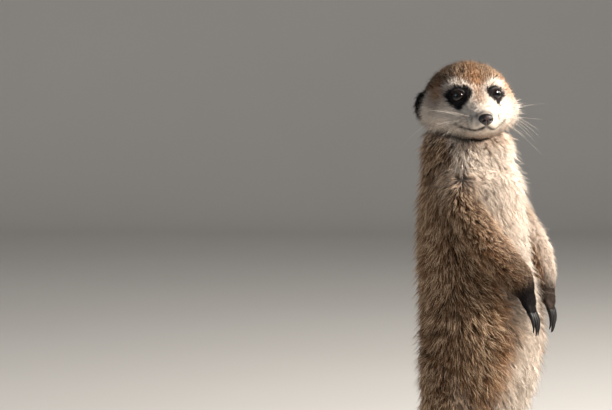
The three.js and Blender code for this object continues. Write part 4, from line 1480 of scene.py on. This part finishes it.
# whiskers and brow hairs: slim tapering tubes that droop along their length
# each kind: how many a side, lengths and droop; place and way in the head's directions, each with what two
# chances add to it; how far back and how high the root's cast is aimed
whiskerSetup = {"thick": 0.085, "rings": 14, "sides": 5, "start": 20, "sunk": 0.8, "thinning": 0.86}
whiskerKinds = {
    "muzzle": {"count": 12, "long": (17, 33), "droop": 0.16, "aim": (8, -6.0),
               "spot": [(14, -40, -7.6), (0, 1, 0), (0, 0, 0.6)],
               "way": [(1, 0.15, 0), (0, 0.35, 0), (0, 0, -0.22)]},
    "brow": {"count": 6, "long": (9, 17), "droop": 0.08, "aim": (8, 2.0),
             "spot": [(11, -24, 13), (4, 0, 0), (0, 0, 3)],
             "way": [(0.55, 0.10, 0.75), (0.5, 0, 0), (0, 0.3, 0)]},
    "cheek": {"count": 4, "long": (12, 24), "droop": 0.15, "aim": (0, -6.0),
              "spot": [(27, -10, -7), (0, 9, 0), (0, 0, -7)],
              "way": [(1, 0, -0.35), (0, 0.45, 0), (0, 0, -0.5)]},
}
muzzleRows = {"count": 3, "down": -1.9, "back": 2.3, "ways": (0.55, 0.10, -0.40)}


def whiskerTube(root, way, drop, length, setup):
    # middle line: root plus distance along the way plus a droop that grows as distance squared
    share = np.linspace(0, 1, setup["rings"])[:, None]
    line = root + way * share * length + drop * (share ** 2) * length
    along = unit(np.gradient(line, axis=0))
    side = unit(np.cross(along, np.array([0.31, 0.17, 0.93])))
    over = np.cross(along, side)
    angle = np.arange(setup["sides"]) * 2 * np.pi / setup["sides"]
    wide = setup["thick"] * (1 - setup["thinning"] * share)[:, :, None]
    return closedTube(line[:, None] + wide * (np.cos(angle)[None, :, None] * side[:, None]
                                              + np.sin(angle)[None, :, None] * over[:, None]))


def growWhiskers(setup, kinds):
    # roots are cast onto the skin from outside, in the head's own directions, the same on both sides
    tree = BVHTree.FromObject(skin, bpy.context.evaluated_depsgraph_get())
    chances = np.random.default_rng(9)
    grids = []
    for side, (kind, one) in ((side, item) for side in (1, -1) for item in kinds.items()):
        for i in range(one["count"]):
            mix = np.array([1, *chances.uniform(0, 1, 2)])
            spot, way = mix @ np.array(one["spot"], float), mix @ np.array(one["way"], float)
            if kind == "muzzle":  # in rows one under another, stepping back
                step, row = divmod(i, muzzleRows["count"])
                spot = spot + (0, step * muzzleRows["back"], row * muzzleRows["down"])
                way = way + (0, 0, muzzleRows["ways"][row])
            inward = np.array([0, spot[1] + one["aim"][0], one["aim"][1]]) - spot
            start = fromHead((spot - unit(inward) * setup["start"]) * (side, 1, 1))
            cast = unit(inward * (side, 1, 1)) @ headTurn.T
            hit = tree.ray_cast(Vector((start - bodyShift) * mm), Vector(cast))[0]
            if hit is None:
                continue
            root = np.array(hit) / mm + bodyShift
            out = unit(way * (side, 1, 1)) @ headTurn.T
            length = chances.uniform(*one["long"])
            drop = np.array([0, 0, -one["droop"]]) * chances.uniform(0.4, 1.4)
            grids.append(whiskerTube(root - out * setup["sunk"], out, drop, length, setup))
    return joinGrids(grids)


keep(meshFrom("whiskers", *growWhiskers(whiskerSetup, whiskerKinds)), paleHair)
report("whiskers")
